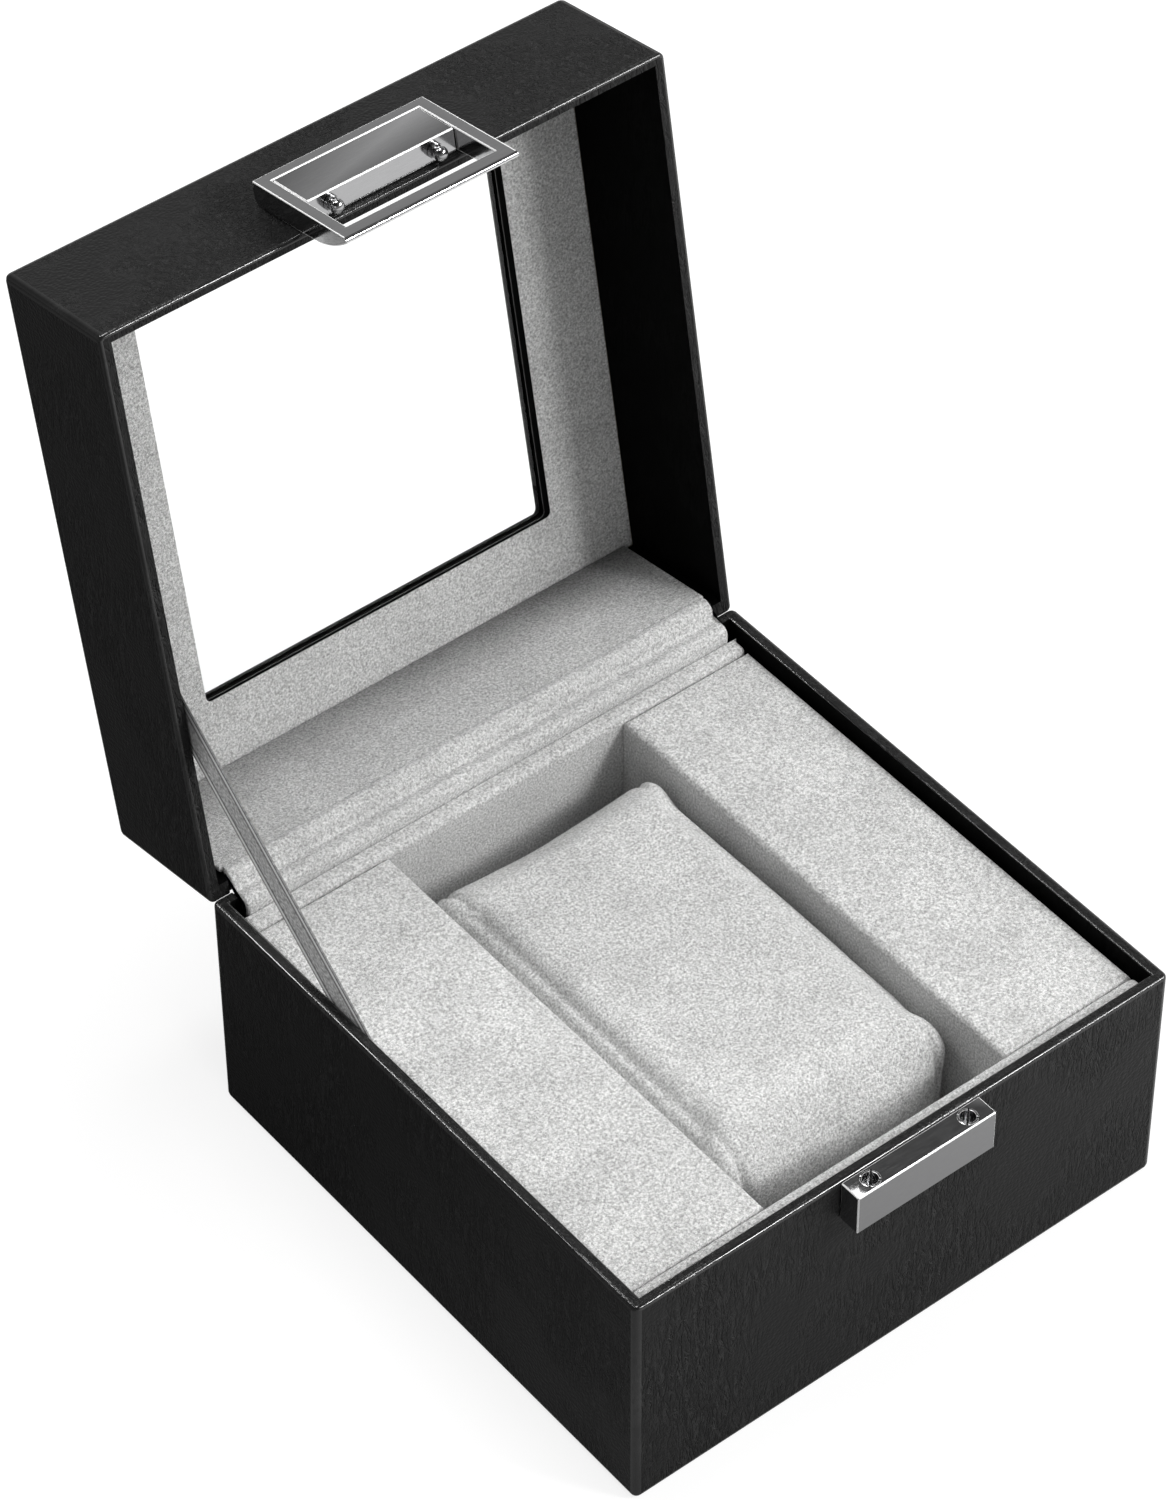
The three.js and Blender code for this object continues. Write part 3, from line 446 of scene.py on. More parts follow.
def make_hide_grain():
    """Artificial leather: fine pebbles, short creases in patches, and a slow change of gloss."""
    group, source, result = new_group(
        "hide_grain",
        [
            ("Place", "NodeSocketVector", None),
            ("Pebble Scale", "NodeSocketFloat", 1500.0),
            ("Crease Depth", "NodeSocketFloat", 1.0),
        ],
        [("Height", "NodeSocketFloat"), ("Gloss", "NodeSocketFloat"), ("Creases", "NodeSocketFloat")],
    )
    pebble = add_node(group, "ShaderNodeTexVoronoi", feature="SMOOTH_F1")
    pebble.inputs["Smoothness"].default_value = 0.6
    pebble.inputs["Randomness"].default_value = 0.9
    group.links.new(source.outputs["Place"], pebble.inputs["Vector"])
    group.links.new(source.outputs["Pebble Scale"], pebble.inputs["Scale"])
    stretch = add_node(group, "ShaderNodeMapping")
    stretch.inputs["Scale"].default_value = crease_stretch
    group.links.new(source.outputs["Place"], stretch.inputs["Vector"])
    crease = noise_over(group, stretch.outputs["Vector"], 1.0, detail=3)
    crease.inputs["Roughness"].default_value = 0.6
    crease.inputs["Distortion"].default_value = 0.8
    ridge = sums(group, "ABSOLUTE", sums(group, "SUBTRACT", crease.outputs["Fac"], 0.5), 0)
    sharp = ramp(group, ridge, 0.0, crease_width, 1.0, 0.0)
    patches = noise_over(group, source.outputs["Place"], patch_scale, detail=3)
    patch_mask = ramp(group, patches.outputs["Fac"], *patch_span)
    creases = sums(group, "MULTIPLY", sharp, patch_mask)
    deep = sums(group, "MULTIPLY", creases, source.outputs["Crease Depth"])
    pits = sums(group, "MULTIPLY", pebble.outputs["Distance"], pebble_depth)
    group.links.new(sums(group, "SUBTRACT", pits, deep), result.inputs["Height"])
    group.links.new(patches.outputs["Fac"], result.inputs["Gloss"])
    group.links.new(creases, result.inputs["Creases"])
    return group


hide_grain = make_hide_grain()


def leather_coat(name, grey, roughness, pebble_scale, crease_depth, relief_depth, shine):
    """Black grained artificial leather with its own grain size and gloss."""
    material, tree, shader = new_material(name)
    place = add_node(tree, "ShaderNodeTexCoord")
    grain = add_node(tree, "ShaderNodeGroup", node_tree=hide_grain)
    grain.inputs["Pebble Scale"].default_value = pebble_scale
    grain.inputs["Crease Depth"].default_value = crease_depth
    tree.links.new(place.outputs["Object"], grain.inputs["Place"])
    raise_grain(tree, shader, grain.outputs["Height"], relief_depth)
    spread = (roughness - gloss_drift, roughness + gloss_drift)
    gloss = ramp(tree, grain.outputs["Gloss"], *noise_span, *spread)
    tree.links.new(gloss, shader.inputs["Roughness"])
    # Creases are painted lighter than the grey, a painted highlight for the glints on the wrinkles.
    tone = ramp(tree, grain.outputs["Creases"], 0.0, 1.0, grey, grey * crease_highlight_share)
    tree.links.new(grey_of(tree, tone), shader.inputs["Base Color"])
    shader.inputs["Specular IOR Level"].default_value = shine
    return material


black_leather = leather_coat(
    "black_leather", grey=leather_grey, roughness=0.40, pebble_scale=1900, crease_depth=2.6,
    relief_depth=1.5e-4, shine=0.19,
)
drawn_leather = leather_coat(
    "drawn_leather", grey=leather_grey, roughness=0.16, pebble_scale=900, crease_depth=0.3,
    relief_depth=4.0e-5, shine=0.75,
)
# A copy of the same leather, far darker and with little gloss: painted shade for the inner walls, which
# lie in shade.
painted_shade_leather = leather_coat(
    "painted_shade_leather", grey=leather_grey * painted_shade_share, roughness=0.65, pebble_scale=1900,
    crease_depth=0.3, relief_depth=2.0e-5, shine=0.02,
)
plain_side, edge_side, inner_side = 0, 1, 2

base_leather = start_block(
    "base_leather", (-case_side, -case_end, case_low), (case_side, case_end, case_rim)
)
finishes(base_leather, black_leather, drawn_leather, painted_shade_leather)
inner_x = case_side - base_side_wall
inner_y = case_end - base_wall
pick_faces(base_leather, lambda c, n: n.z > flat_face)
inset_by(base_wall)
bpy.ops.transform.resize(value=(inner_x / (case_side - base_wall), 1, 1), center_override=(0, 0, 0))
pull_by(0, 0, -leather_turn_in)
bpy.ops.mesh.delete(type="ONLY_FACE")
pick_faces(base_leather, lambda c, n: n.z < -flat_face)
inset_by(leather_turn_under)
bpy.ops.mesh.delete(type="ONLY_FACE")
for side in (-1, 1):
    for step in (0, notch_slope):
        cut_across((side * (notch_half + step), 0, 0), (1, 0, 0))
pick_points(
    base_leather,
    lambda c: abs(c.x) < notch_half + within_slope
    and c.y > inner_y - within_slope
    and near(c.z, case_rim),
)
bpy.ops.transform.translate(value=(0, 0, -notch_depth * MM))


def on_outline(point, side, low, high, corner):
    """True for a point of the outline of the case, whose corners have that radius."""
    middle, half = (low + high) / 2, (high - low) / 2
    over_x = max(abs(point.x) - (side - corner), 0)
    over_y = max(abs(point.y - middle) - (half - corner), 0)
    return near(math.hypot(over_x, over_y), corner)


def base_corner(a, b):
    """The upright corners and the bottom edges of the outside."""
    at_side = near(abs(a.x), case_side) and near(abs(b.x), case_side)
    at_end = near(abs(a.y), case_end) and near(abs(b.y), case_end)
    bottom = near(a.z, case_low) and near(b.z, case_low)
    return at_side and at_end and not near(a.z, b.z) or bottom and (at_side or at_end)


def base_rim_edge(a, b):
    """The rim's outer edge, but not the notch at the hinge."""
    ends = all(on_outline(p, case_side, -case_end, case_end, leather_corner) for p in (a, b))
    notched = a.y > inner_y and min(abs(a.x), abs(b.x)) < notch_half + within_slope
    return ends and near(a.z, case_rim) and near(b.z, case_rim) and not notched


def inner_edge(a, b):
    """The edge of the rim round the mouth, at the sides and the front."""
    if not near(a.z, case_rim) or not near(b.z, case_rim):
        return False
    at_side = near(abs(a.x), inner_x) and near(abs(b.x), inner_x)
    at_front = near(a.y, -inner_y) and near(b.y, -inner_y)
    inside = max(abs(a.x), abs(b.x)) < inner_x + facet and max(abs(a.y), abs(b.y)) < inner_y + facet
    return inside and (at_side or at_front)


pick_edges(base_leather, base_corner)
round_over(leather_corner, steps=6, finish=edge_side)
pick_edges(base_leather, base_rim_edge)
round_over(leather_edge, steps=5, finish=edge_side)
pick_edges(base_leather, inner_edge)
round_over(leather_inner_edge, steps=3, finish=edge_side)
bpy.ops.object.mode_set(mode="OBJECT")
# The inner walls of the base take the painted-shade copy of the leather.
finish_faces(
    base_leather,
    inner_side,
    lambda c, n: abs(c.x) < inner_x + facet
    and abs(c.y) < inner_y + facet
    and c.z > case_rim / 2
    and abs(n.z) < upright_face,
)
apply_modifier(base_leather, "SOLIDIFY", thickness=leather_thick * MM, offset=-1, use_even_offset=True)
smooth_over(base_leather, degrees=35)
dress(base_leather, None, "base", ["base_cover"])

# Velvet linings of the base. Boards padded and wrapped in velvet stand before and behind the well,
# and a flat one lies on its floor.
velvet_colour = (0.60, 0.60, 0.595)
tuft_scale = 2600
tuft_depth = 3.2e-4
tuft_span = (0.36, 0.64)
tuft_tone = (0.52, 1.48)
cloud_scale = 95
cloud_tone = (0.92, 1.08)
shade_across = (-0.046, 0.030)
shade_left_share = 0.45


def make_velvet_nap():
    """Short velvet: specks of single tufts, clouds where the nap lies another way, and its relief."""
    group, source, result = new_group(
        "velvet_nap",
        [("Place", "NodeSocketVector", None), ("Tuft Scale", "NodeSocketFloat", 2600.0)],
        [("Tone", "NodeSocketFloat"), ("Height", "NodeSocketFloat")],
    )
    tuft = add_node(group, "ShaderNodeTexNoise")
    tuft.inputs["Detail"].default_value = 4
    tuft.inputs["Roughness"].default_value = 0.75
    group.links.new(source.outputs["Place"], tuft.inputs["Vector"])
    group.links.new(source.outputs["Tuft Scale"], tuft.inputs["Scale"])
    cloud = noise_over(group, source.outputs["Place"], cloud_scale, detail=3)
    speck = ramp(group, tuft.outputs["Fac"], *tuft_span, *tuft_tone)
    drift = ramp(group, cloud.outputs["Fac"], *noise_span, *cloud_tone)
    group.links.new(sums(group, "MULTIPLY", speck, drift), result.inputs["Tone"])
    group.links.new(tuft.outputs["Fac"], result.inputs["Height"])
    return group


velvet_nap = make_velvet_nap()


def velvet_coat(name, colour, tuft_scale, relief_depth, shade_band=None):
    """Light grey velvet. shade_band is a band in y, with a depth of tone, where shade is painted in,
    deepest to the right.
    """
    material, tree, shader = new_material(name)
    place = add_node(tree, "ShaderNodeTexCoord")
    nap = add_node(tree, "ShaderNodeGroup", node_tree=velvet_nap)
    nap.inputs["Tuft Scale"].default_value = tuft_scale
    tree.links.new(place.outputs["Object"], nap.inputs["Place"])
    tone = nap.outputs["Tone"]
    # Painted shade: darker towards the window frame and towards the right, where the lid's frame and
    # right wall shade the card.
    if shade_band:
        low, high, depth = shade_band
        spot = add_node(tree, "ShaderNodeSeparateXYZ")
        tree.links.new(place.outputs["Object"], spot.inputs[0])
        band = ramp(tree, spot.outputs["Y"], low, high, 0.0, depth)
        to_right = ramp(tree, spot.outputs["X"], *shade_across, shade_left_share, 1.0)
        painted_shade = sums(tree, "SUBTRACT", 1.0, sums(tree, "MULTIPLY", band, to_right))
        tone = sums(tree, "MULTIPLY", tone, painted_shade)
    shade = add_node(tree, "ShaderNodeMix", data_type="RGBA", blend_type="MULTIPLY")
    shade.inputs["Factor"].default_value = 1.0
    colour_mix = [s for s in shade.inputs if s.type == "RGBA"]
    colour_mix[0].default_value = (*colour, 1)
    tree.links.new(grey_of(tree, tone), colour_mix[1])
    mixed = [s for s in shade.outputs if s.type == "RGBA"][0]
    tree.links.new(mixed, shader.inputs["Base Color"])
    raise_grain(tree, shader, nap.outputs["Height"], relief_depth)
    shader.inputs["Roughness"].default_value = 1.0
    shader.inputs["Specular IOR Level"].default_value = 0.1
    shader.inputs["Sheen Weight"].default_value = 0.25
    shader.inputs["Sheen Roughness"].default_value = 0.4
    return material


grey_velvet = velvet_coat("grey_velvet", velvet_colour, tuft_scale, tuft_depth)
# A copy of the velvet with painted shade, for the card on the lid's back wall.
painted_shade_velvet = velvet_coat(
    "painted_shade_velvet", velvet_colour, tuft_scale, tuft_depth, shade_band=(0.0615, 0.0715, 0.72)
)

lining_half = 47.6
lining_low = 2.4
lining_high = 41.4
lining_round = 1.15
front_lining_y = (-48.1, -45.2)
back_lining_y = (43.1, 46.0)
tight_round = 0.25
soft_turn = 40
well_side = 22.6
well_y = (-45.1, 43.0)
well_floor_top = 3.4
well_floor_round = 0.3


def padded_board(name, low, high, radius, node, tight_side=None):
    """A board wrapped in padded velvet: its edges are round, but tight where it meets the hinge."""
    piece = start_block(name, low, high)
    if tight_side:
        pick_edges(piece, lambda a, b: near(a.y, tight_side) and near(b.y, tight_side))
        round_over(tight_round, steps=3)
        pick_edges(piece, lambda a, b: min(a.y, b.y) < tight_side - tight_round - facet)
    else:
        bpy.ops.mesh.select_all(action="SELECT")
    round_over(radius, steps=6)
    smooth_over(piece, degrees=soft_turn)
    dress(piece, grey_velvet, "base", [node])


padded_board(
    "front_lining_velvet", (-lining_half, front_lining_y[0], lining_low),
    (lining_half, front_lining_y[1], lining_high), lining_round, "front_lining",
)
padded_board(
    "back_lining_velvet", (-lining_half, back_lining_y[0], lining_low),
    (lining_half, back_lining_y[1], lining_high), lining_round, "back_lining", back_lining_y[1],
)
padded_board(
    "well_floor_velvet", (-well_side, well_y[0], lining_low), (well_side, well_y[1], well_floor_top),
    well_floor_round, "well_floor",
)

# Shoulders. Velvet is drawn over a folded card form on each side of the well, down its inner side to
# the floor and a little way down its outer side.
shoulder_inner = 22.7
shoulder_front = -45.0
shoulder_back = 43.0
shoulder_top = 41.0
shoulder_round = 1.1
velvet_thick = 0.45


def shoulder(name, side, node):
    """The velvet over one shoulder; side is -1 on the left and 1 on the right."""
    inner, outer = sorted((side * shoulder_inner, side * lining_half))
    piece = start_block(name, (inner, shoulder_front, lining_low), (outer, shoulder_back, shoulder_top))
    pick_faces(piece, lambda c, n: n.z < -flat_face)
    bpy.ops.mesh.delete(type="ONLY_FACE")
    pick_edges(piece, lambda a, b: near(a.z, shoulder_top) and near(b.z, shoulder_top))
    round_over(shoulder_round, steps=6)
    bpy.ops.object.mode_set(mode="OBJECT")
    apply_modifier(piece, "SOLIDIFY", thickness=velvet_thick * MM, offset=-1, use_even_offset=True)
    smooth_over(piece, degrees=soft_turn)
    dress(piece, grey_velvet, "base", [node])


shoulder("shoulder_velvet_wrap_left", -1, "shoulder_velvet_left")
shoulder("shoulder_velvet_wrap_right", 1, "shoulder_velvet_right")

# Cushion. A block of soft foam in a velvet sleeve, with a sewn end panel at each side. The foam
# presses the velvet out into a crown on every side, and the two seams hold it back.
pillow_half = (21.3, 36.1, 17.25)
pillow_middle = 21.35
pillow_corner = 5.0
pillow_seam = 18.4
seam_depth = 0.75
seam_width = 0.65
pillow_swell = 1.3
pillow_clear = 0.1
cloth_scale = 10.0
cloth_grain = 1.5
cloth_pressure = 4.0
cloth_steps = 20
pillow_side_round = 1.8
seam_reach = 10.0


def swell(piece, middle, limit):
    """Blows the cover up a little from inside. It is worked out large, where the cloth is steady."""
    centre = Vector(middle) * MM
    grow = Matrix.Scale(cloth_scale, 4) @ Matrix.Translation(-centre)
    piece.data.transform(grow)
    apply_modifier(piece, "REMESH", mode="VOXEL", voxel_size=cloth_grain * MM * cloth_scale)
    rest = [point.co.copy() for point in piece.data.vertices]
    cloth = piece.modifiers.new("cover", "CLOTH")
    cloth.settings.quality = 6
    cloth.settings.use_pressure = True
    cloth.settings.uniform_pressure_force = cloth_pressure
    cloth.settings.effector_weights.gravity = 0.0
    cloth.point_cache.frame_start = 1
    cloth.point_cache.frame_end = cloth_steps
    for step in range(1, cloth_steps + 1):
        bpy.context.scene.frame_set(step)
    take(piece)
    bpy.ops.object.modifier_apply(modifier=cloth.name)
    bpy.context.scene.frame_set(1)
    most = limit * MM * cloth_scale
    for point, start in zip(piece.data.vertices, rest):
        move = point.co - start
        if move.length > most:
            point.co = start + move * (most / move.length)
    piece.data.transform(grow.inverted())


pillow = start_block(
    "pillow_velvet_cover",
    (-pillow_half[0], -pillow_half[1], pillow_middle - pillow_half[2]),
    (pillow_half[0], pillow_half[1], pillow_middle + pillow_half[2]),
)
pick_edges(pillow, lambda a, b: not near(a.x, b.x))
round_over(pillow_corner, steps=6)
pick_edges(pillow, lambda a, b: near(a.x, b.x) and near(abs(a.x), pillow_half[0]))
round_over(pillow_side_round, steps=4)
bpy.ops.object.mode_set(mode="OBJECT")
swell(pillow, (0, 0, pillow_middle), pillow_swell)
apply_modifier(pillow, "SUBSURF", levels=2, render_levels=2)
for point in pillow.data.vertices:
    x, y, z = point.co.x / MM, point.co.y, point.co.z - pillow_middle * MM
    out = math.hypot(y, z)
    hold = seam_depth * math.exp(-(((abs(x) - pillow_seam) / seam_width) ** 2))
    hold *= min(1.0, out / (seam_reach * MM))
    shrink = 1 - hold * MM / max(out, MM)
    height = max(pillow_middle * MM + z * shrink, (well_floor_top + pillow_clear) * MM)
    point.co = Vector((point.co.x, y * shrink, height))
bpy.ops.object.shade_smooth()
dress(
    pillow, grey_velvet, "pillow",
    ["pillow_sleeve", "pillow_end_left", "pillow_end_right", "pillow_foam"],
)

# Leather of the lid. The same leather goes round the lid's outside and rim, down its inner walls to
# the velvet, and over the edge of the window.
lid_height = 24.4
lid_wall = 1.6
lid_side_wall = 1.9
lid_reach = -100.0
lid_back = 1.2
lid_ceiling = 22.1
window_half = (32.7, 34.5)
window_lip = 23.6
window_corner = 1.0
window_edge_round = 0.3
hinge_y = 50.2
hinge_z = 43.6
lid_opening = 100
lid_off_hinge = (-0.2, 0.1)
open_lid = (
    Matrix.Translation((0, hinge_y * MM, hinge_z * MM))
    @ Matrix.Rotation(math.radians(-lid_opening), 4, "X")
    @ Matrix.Translation((0, lid_off_hinge[0] * MM, lid_off_hinge[1] * MM))
)


def onto_lid(piece):
    """Turns a piece from the closed lid's own frame, rim at 0 and back wall at 0, to the open lid."""
    take(piece)
    piece.matrix_world = open_lid
    bpy.ops.object.transform_apply(location=True, rotation=True, scale=True)


lid_leather = start_block("lid_leather", (-case_side, lid_reach, 0), (case_side, lid_back, lid_height))
finishes(lid_leather, black_leather, drawn_leather, painted_shade_leather)
shrink = 2 * window_half[1] / (lid_back - lid_reach)
hold_y = (lid_reach / 2 - window_half[1] - shrink * lid_reach) / (1 - shrink)
pick_faces(lid_leather, lambda c, n: n.z > flat_face)
bpy.ops.mesh.inset(thickness=0)
bpy.ops.transform.resize(
    value=(window_half[0] / case_side, shrink, 1), center_override=(0, hold_y * MM, lid_height * MM)
)
pull_by(0, 0, window_lip - lid_height)
bpy.ops.mesh.delete(type="ONLY_FACE")
pick_faces(lid_leather, lambda c, n: n.z < -flat_face)
inset_by(lid_wall)
lid_inner_x = case_side - lid_side_wall
lid_inner_front = lid_reach + lid_wall
bpy.ops.transform.resize(
    value=(
        lid_inner_x / (case_side - lid_wall),
        (-lid_wall - lid_inner_front) / (lid_back - lid_wall - lid_inner_front),
        1,
    ),
    center_override=(0, lid_inner_front * MM, 0),
)
pull_by(0, 0, lid_ceiling)
bpy.ops.mesh.delete(type="ONLY_FACE")
for side in (-1, 1):
    for step in (0, notch_slope):
        cut_across((side * (notch_half + step), 0, 0), (1, 0, 0))
pick_points(
    lid_leather,
    lambda c: abs(c.x) < notch_half + within_slope and c.y > -lid_wall - within_slope and near(c.z, 0),
)
bpy.ops.transform.translate(value=(0, 0, notch_depth * MM))


def lid_corner(a, b):
    """The upright corners and the edges of the lid's face."""
    at_side = near(abs(a.x), case_side) and near(abs(b.x), case_side)
    at_end = near(a.y, b.y) and (near(a.y, lid_reach) or near(a.y, lid_back))
    face = near(a.z, lid_height) and near(b.z, lid_height)
    return at_side and at_end and not near(a.z, b.z) or face and (at_side or at_end)


def lid_rim_edge(a, b):
    """The rim's outer edge, but not the notch at the hinge."""
    ends = all(on_outline(p, case_side, lid_reach, lid_back, leather_corner) for p in (a, b))
    notched = a.y > -lid_wall and min(abs(a.x), abs(b.x)) < notch_half + within_slope
    return ends and near(a.z, 0) and near(b.z, 0) and not notched


def at_window(point):
    """True for a point in the window's opening or on its edge."""
    half_depth = abs(point.y - lid_reach / 2)
    return abs(point.x) < window_half[0] + facet and half_depth < window_half[1] + facet


def window_edge(a, b):
    """The outer edge of the window's opening."""
    return near(a.z, lid_height) and near(b.z, lid_height) and at_window(a) and at_window(b)


pick_edges(lid_leather, lid_corner)
round_over(leather_corner, steps=6, finish=edge_side)
pick_edges(lid_leather, lid_rim_edge)
round_over(leather_edge, steps=5, finish=edge_side)
pick_edges(
    lid_leather,
    lambda a, b: near(abs(a.x), window_half[0])
    and near(abs(b.x), window_half[0])
    and near(a.y, b.y)
    and not near(a.z, b.z),
)
round_over(window_corner, steps=5)
pick_edges(lid_leather, window_edge)
round_over(window_edge_round, steps=3)
bpy.ops.object.mode_set(mode="OBJECT")
# The inner walls of the lid take the painted-shade copy of the leather.
finish_faces(
    lid_leather,
    inner_side,
    lambda c, n: abs(c.x) < lid_inner_x + facet
    and lid_inner_front - facet < c.y < facet - lid_wall
    and c.z < lid_ceiling
    and abs(n.z) < upright_face,
)
apply_modifier(lid_leather, "SOLIDIFY", thickness=leather_thick * MM, offset=-1, use_even_offset=True)
onto_lid(lid_leather)
smooth_over(lid_leather, degrees=35)
dress(lid_leather, None, "lid", ["lid_cover"])

# Window. A clear flat pane lies in a rebate of the frame board, behind the leather's edge. A strip of
# leather lines the opening in front of it, and a black card frame lies behind its border.
pane_glass, tree, shader = new_material("window_glass")
shader.inputs["Base Color"].default_value = (0.985, 0.992, 0.99, 1)
shader.inputs["Roughness"].default_value = 0.0
shader.inputs["IOR"].default_value = 1.45
shader.inputs["Transmission Weight"].default_value = 1.0
cover_node(pane_glass, "window_pane")


def pierced_slab(name, half, hole, low, high, corner, off=(0, 0)):
    """A flat slab in the closed lid's frame with an opening through it, left in edit mode.

    off is how far the opening lies off the middle."""
    middle = lid_reach / 2
    slab = start_block(name, (-half[0], middle - half[1], low), (half[0], middle + half[1], high))
    for side in (-1, 1):
        pick_faces(slab, lambda c, n: n.z * side > flat_face)
        bpy.ops.mesh.inset(thickness=0)
        bpy.ops.transform.resize(
            value=(hole[0] / half[0], hole[1] / half[1], 1), center_override=(0, middle * MM, 0)
        )
        bpy.ops.transform.translate(value=(off[0] * MM, off[1] * MM, 0))
    centred = Vector((off[0], middle + off[1]))
    pick_faces(slab, lambda c, n: abs(n.z) > flat_face and (c.xy - centred).length < facet)
    bpy.ops.mesh.bridge_edge_loops()
    pick_edges(
        slab,
        lambda a, b: near(abs(a.x - off[0]), hole[0]) and near(a.x, b.x) and near(a.y, b.y)
        and not near(a.z, b.z),
    )
    round_over(corner, steps=5)
    return slab


binding_reach = 1.8
binding_low = 22.22
binding_high = 22.79
binding_round = 0.10
binding = pierced_slab(
    "window_edge_binding", (window_half[0] + binding_reach, window_half[1] + binding_reach), window_half,
    binding_low, binding_high, window_corner,
)
# Its face takes the painted-shade copy of the leather, near black for the shade at the window's edge;
# its rounded front edge takes the glossy leather.
finishes(binding, painted_shade_leather, drawn_leather)
pick_edges(
    binding,
    lambda a, b: near(a.z, binding_low) and near(b.z, binding_low) and at_window(a) and at_window(b),
)
round_over(binding_round, steps=2, finish=edge_side)
onto_lid(binding)
smooth_over(binding, degrees=soft_turn)
dress(binding, None, "lid")

backing_reach = 2.4
backing_trim = (0.4, 0.1)
backing_low = 23.52
backing_high = 23.58
backing_corner = 1.5
backing = pierced_slab(
    "window_border_backing", (window_half[0] + backing_reach, window_half[1] + backing_reach),
    (window_half[0] - backing_trim[0], window_half[1] - backing_trim[1]), backing_low, backing_high,
    backing_corner, (-backing_trim[0], -backing_trim[1]),
)
onto_lid(backing)
smooth_over(backing, degrees=soft_turn)
dress(backing, painted_shade_leather, "lid")

# Velvet of the lid. A frame of velvet lies round the window, and a velvet card stands on the back
# wall, from that frame down to the hinge.
frame_half = 48.3
frame_margin = (0.4, 0.1)
frame_shift = (0.75, 0.45)
frame_low = 22.2
frame_high = 22.7
frame_velvet = pierced_slab(
    "lid_velvet_frame", (frame_half, frame_half),
    (window_half[0] + frame_margin[0], window_half[1] + frame_margin[1]), frame_low, frame_high,
    window_corner, frame_shift,
)
onto_lid(frame_velvet)
smooth_over(frame_velvet, degrees=soft_turn)
dress(frame_velvet, grey_velvet, "lid", ["lid_lining_frame"])

card_half = 46.7
card_y = (-2.6, -1.72)
card_z = (2.0, 22.05)
card_round = 0.35
back_velvet = start_block(
    "lid_velvet_back", (-card_half, card_y[0], card_z[0]), (card_half, card_y[1], card_z[1])
)
bpy.ops.mesh.select_all(action="SELECT")
round_over(card_round, steps=4)
onto_lid(back_velvet)
smooth_over(back_velvet, degrees=soft_turn)
# The card takes the velvet with painted shade near the frame and the right wall.
dress(back_velvet, painted_shade_velvet, "lid", ["lid_lining_back"])

# Hinge. Two steel leaves with rolled knuckles share one pin, and small screws hold them to the back
# boards, out of sight under the velvet.
streak_span = (0.25, 0.75)
streak_tone = (0.95, 1.05)


def metal_coat(name, colour, roughness, streaks, streak_depth, streak_scale, metallic=1.0):
    """Metal with faint polishing lines and a slow change of gloss."""
    material, tree, shader = new_material(name)
    place = add_node(tree, "ShaderNodeTexCoord")
    stretch = add_node(tree, "ShaderNodeMapping")
    stretch.inputs["Scale"].default_value = streak_scale
    tree.links.new(place.outputs["Object"], stretch.inputs["Vector"])
    lines = noise_over(tree, stretch.outputs["Vector"], 1.0, detail=4)
    spread = (roughness * (1 - streaks), roughness * (1 + streaks))
    gloss = ramp(tree, lines.outputs["Fac"], *noise_span, *spread)
    tree.links.new(gloss, shader.inputs["Roughness"])
    tone = add_node(tree, "ShaderNodeValToRGB")
    for stop, position, share in zip(tone.color_ramp.elements, streak_span, streak_tone):
        stop.position = position
        stop.color = (*[c * share for c in colour], 1)
    tree.links.new(lines.outputs["Fac"], tone.inputs["Fac"])
    tree.links.new(tone.outputs["Color"], shader.inputs["Base Color"])
    raise_grain(tree, shader, lines.outputs["Fac"], streak_depth)
    shader.inputs["Metallic"].default_value = metallic
    return material


plain_steel = metal_coat(
    "plain_steel", (0.38, 0.38, 0.38), roughness=0.35, streaks=0.3, streak_depth=5e-7,
    streak_scale=(300, 6000, 6000),
)
steel_names = [
    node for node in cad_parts
    if "screw" in node or node.startswith("hinge_leaf") or node.endswith("_pin")
]
cover_node(plain_steel, *steel_names)

# Hinge lining. One padded velvet strip runs from the back lining over the hinge to the lid, in two
# rolls with a crease between them.
roll_half = 46.4
roll_round = 0.6
roll_turn = 50
roll_section = [
    (46.12, 40.10), (46.12, 42.40), (46.25, 43.10), (46.57, 43.60), (47.00, 43.88), (47.45, 44.00),
    (48.00, 43.94), (48.50, 43.78), (48.90, 43.66), (49.19, 43.62), (49.45, 43.72), (49.66, 43.92),
    (49.76, 44.20), (49.83, 44.55), (49.92, 45.00), (50.10, 45.48), (50.38, 45.78), (50.73, 46.00),
    (51.10, 46.16), (51.48, 46.28), (51.95, 46.38), (52.55, 46.12), (52.35, 45.10), (51.60, 44.50),
    (50.90, 44.05), (50.30, 43.25), (49.00, 43.22), (47.62, 43.10), (47.58, 40.10),
]


def drawn_block(name, section, low, high):
    """A section given as (y, z) points in millimetres, drawn out along the hinge."""
    bpy.ops.object.select_all(action="DESELECT")
    bpy.ops.mesh.primitive_circle_add(vertices=len(section), fill_type="NGON")
    piece = bpy.context.object
    piece.name = piece.data.name = name
    for point, (y, z) in zip(piece.data.vertices, section):
        point.co = (low * MM, y * MM, z * MM)
    bpy.ops.object.mode_set(mode="EDIT")
    bpy.ops.mesh.select_all(action="SELECT")
    pull_by(high - low, 0, 0)
    bpy.ops.mesh.select_all(action="SELECT")
    bpy.ops.mesh.normals_make_consistent(inside=False)
    return piece


hinge_velvet = drawn_block("hinge_velvet", roll_section, -roll_half, roll_half)
pick_edges(hinge_velvet, lambda a, b: near(a.x, b.x) and near(abs(a.x), roll_half))
round_over(roll_round, steps=5)
smooth_over(hinge_velvet, degrees=roll_turn)
dress(hinge_velvet, grey_velvet, None, ["hinge_lining"])
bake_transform(hinge_velvet)

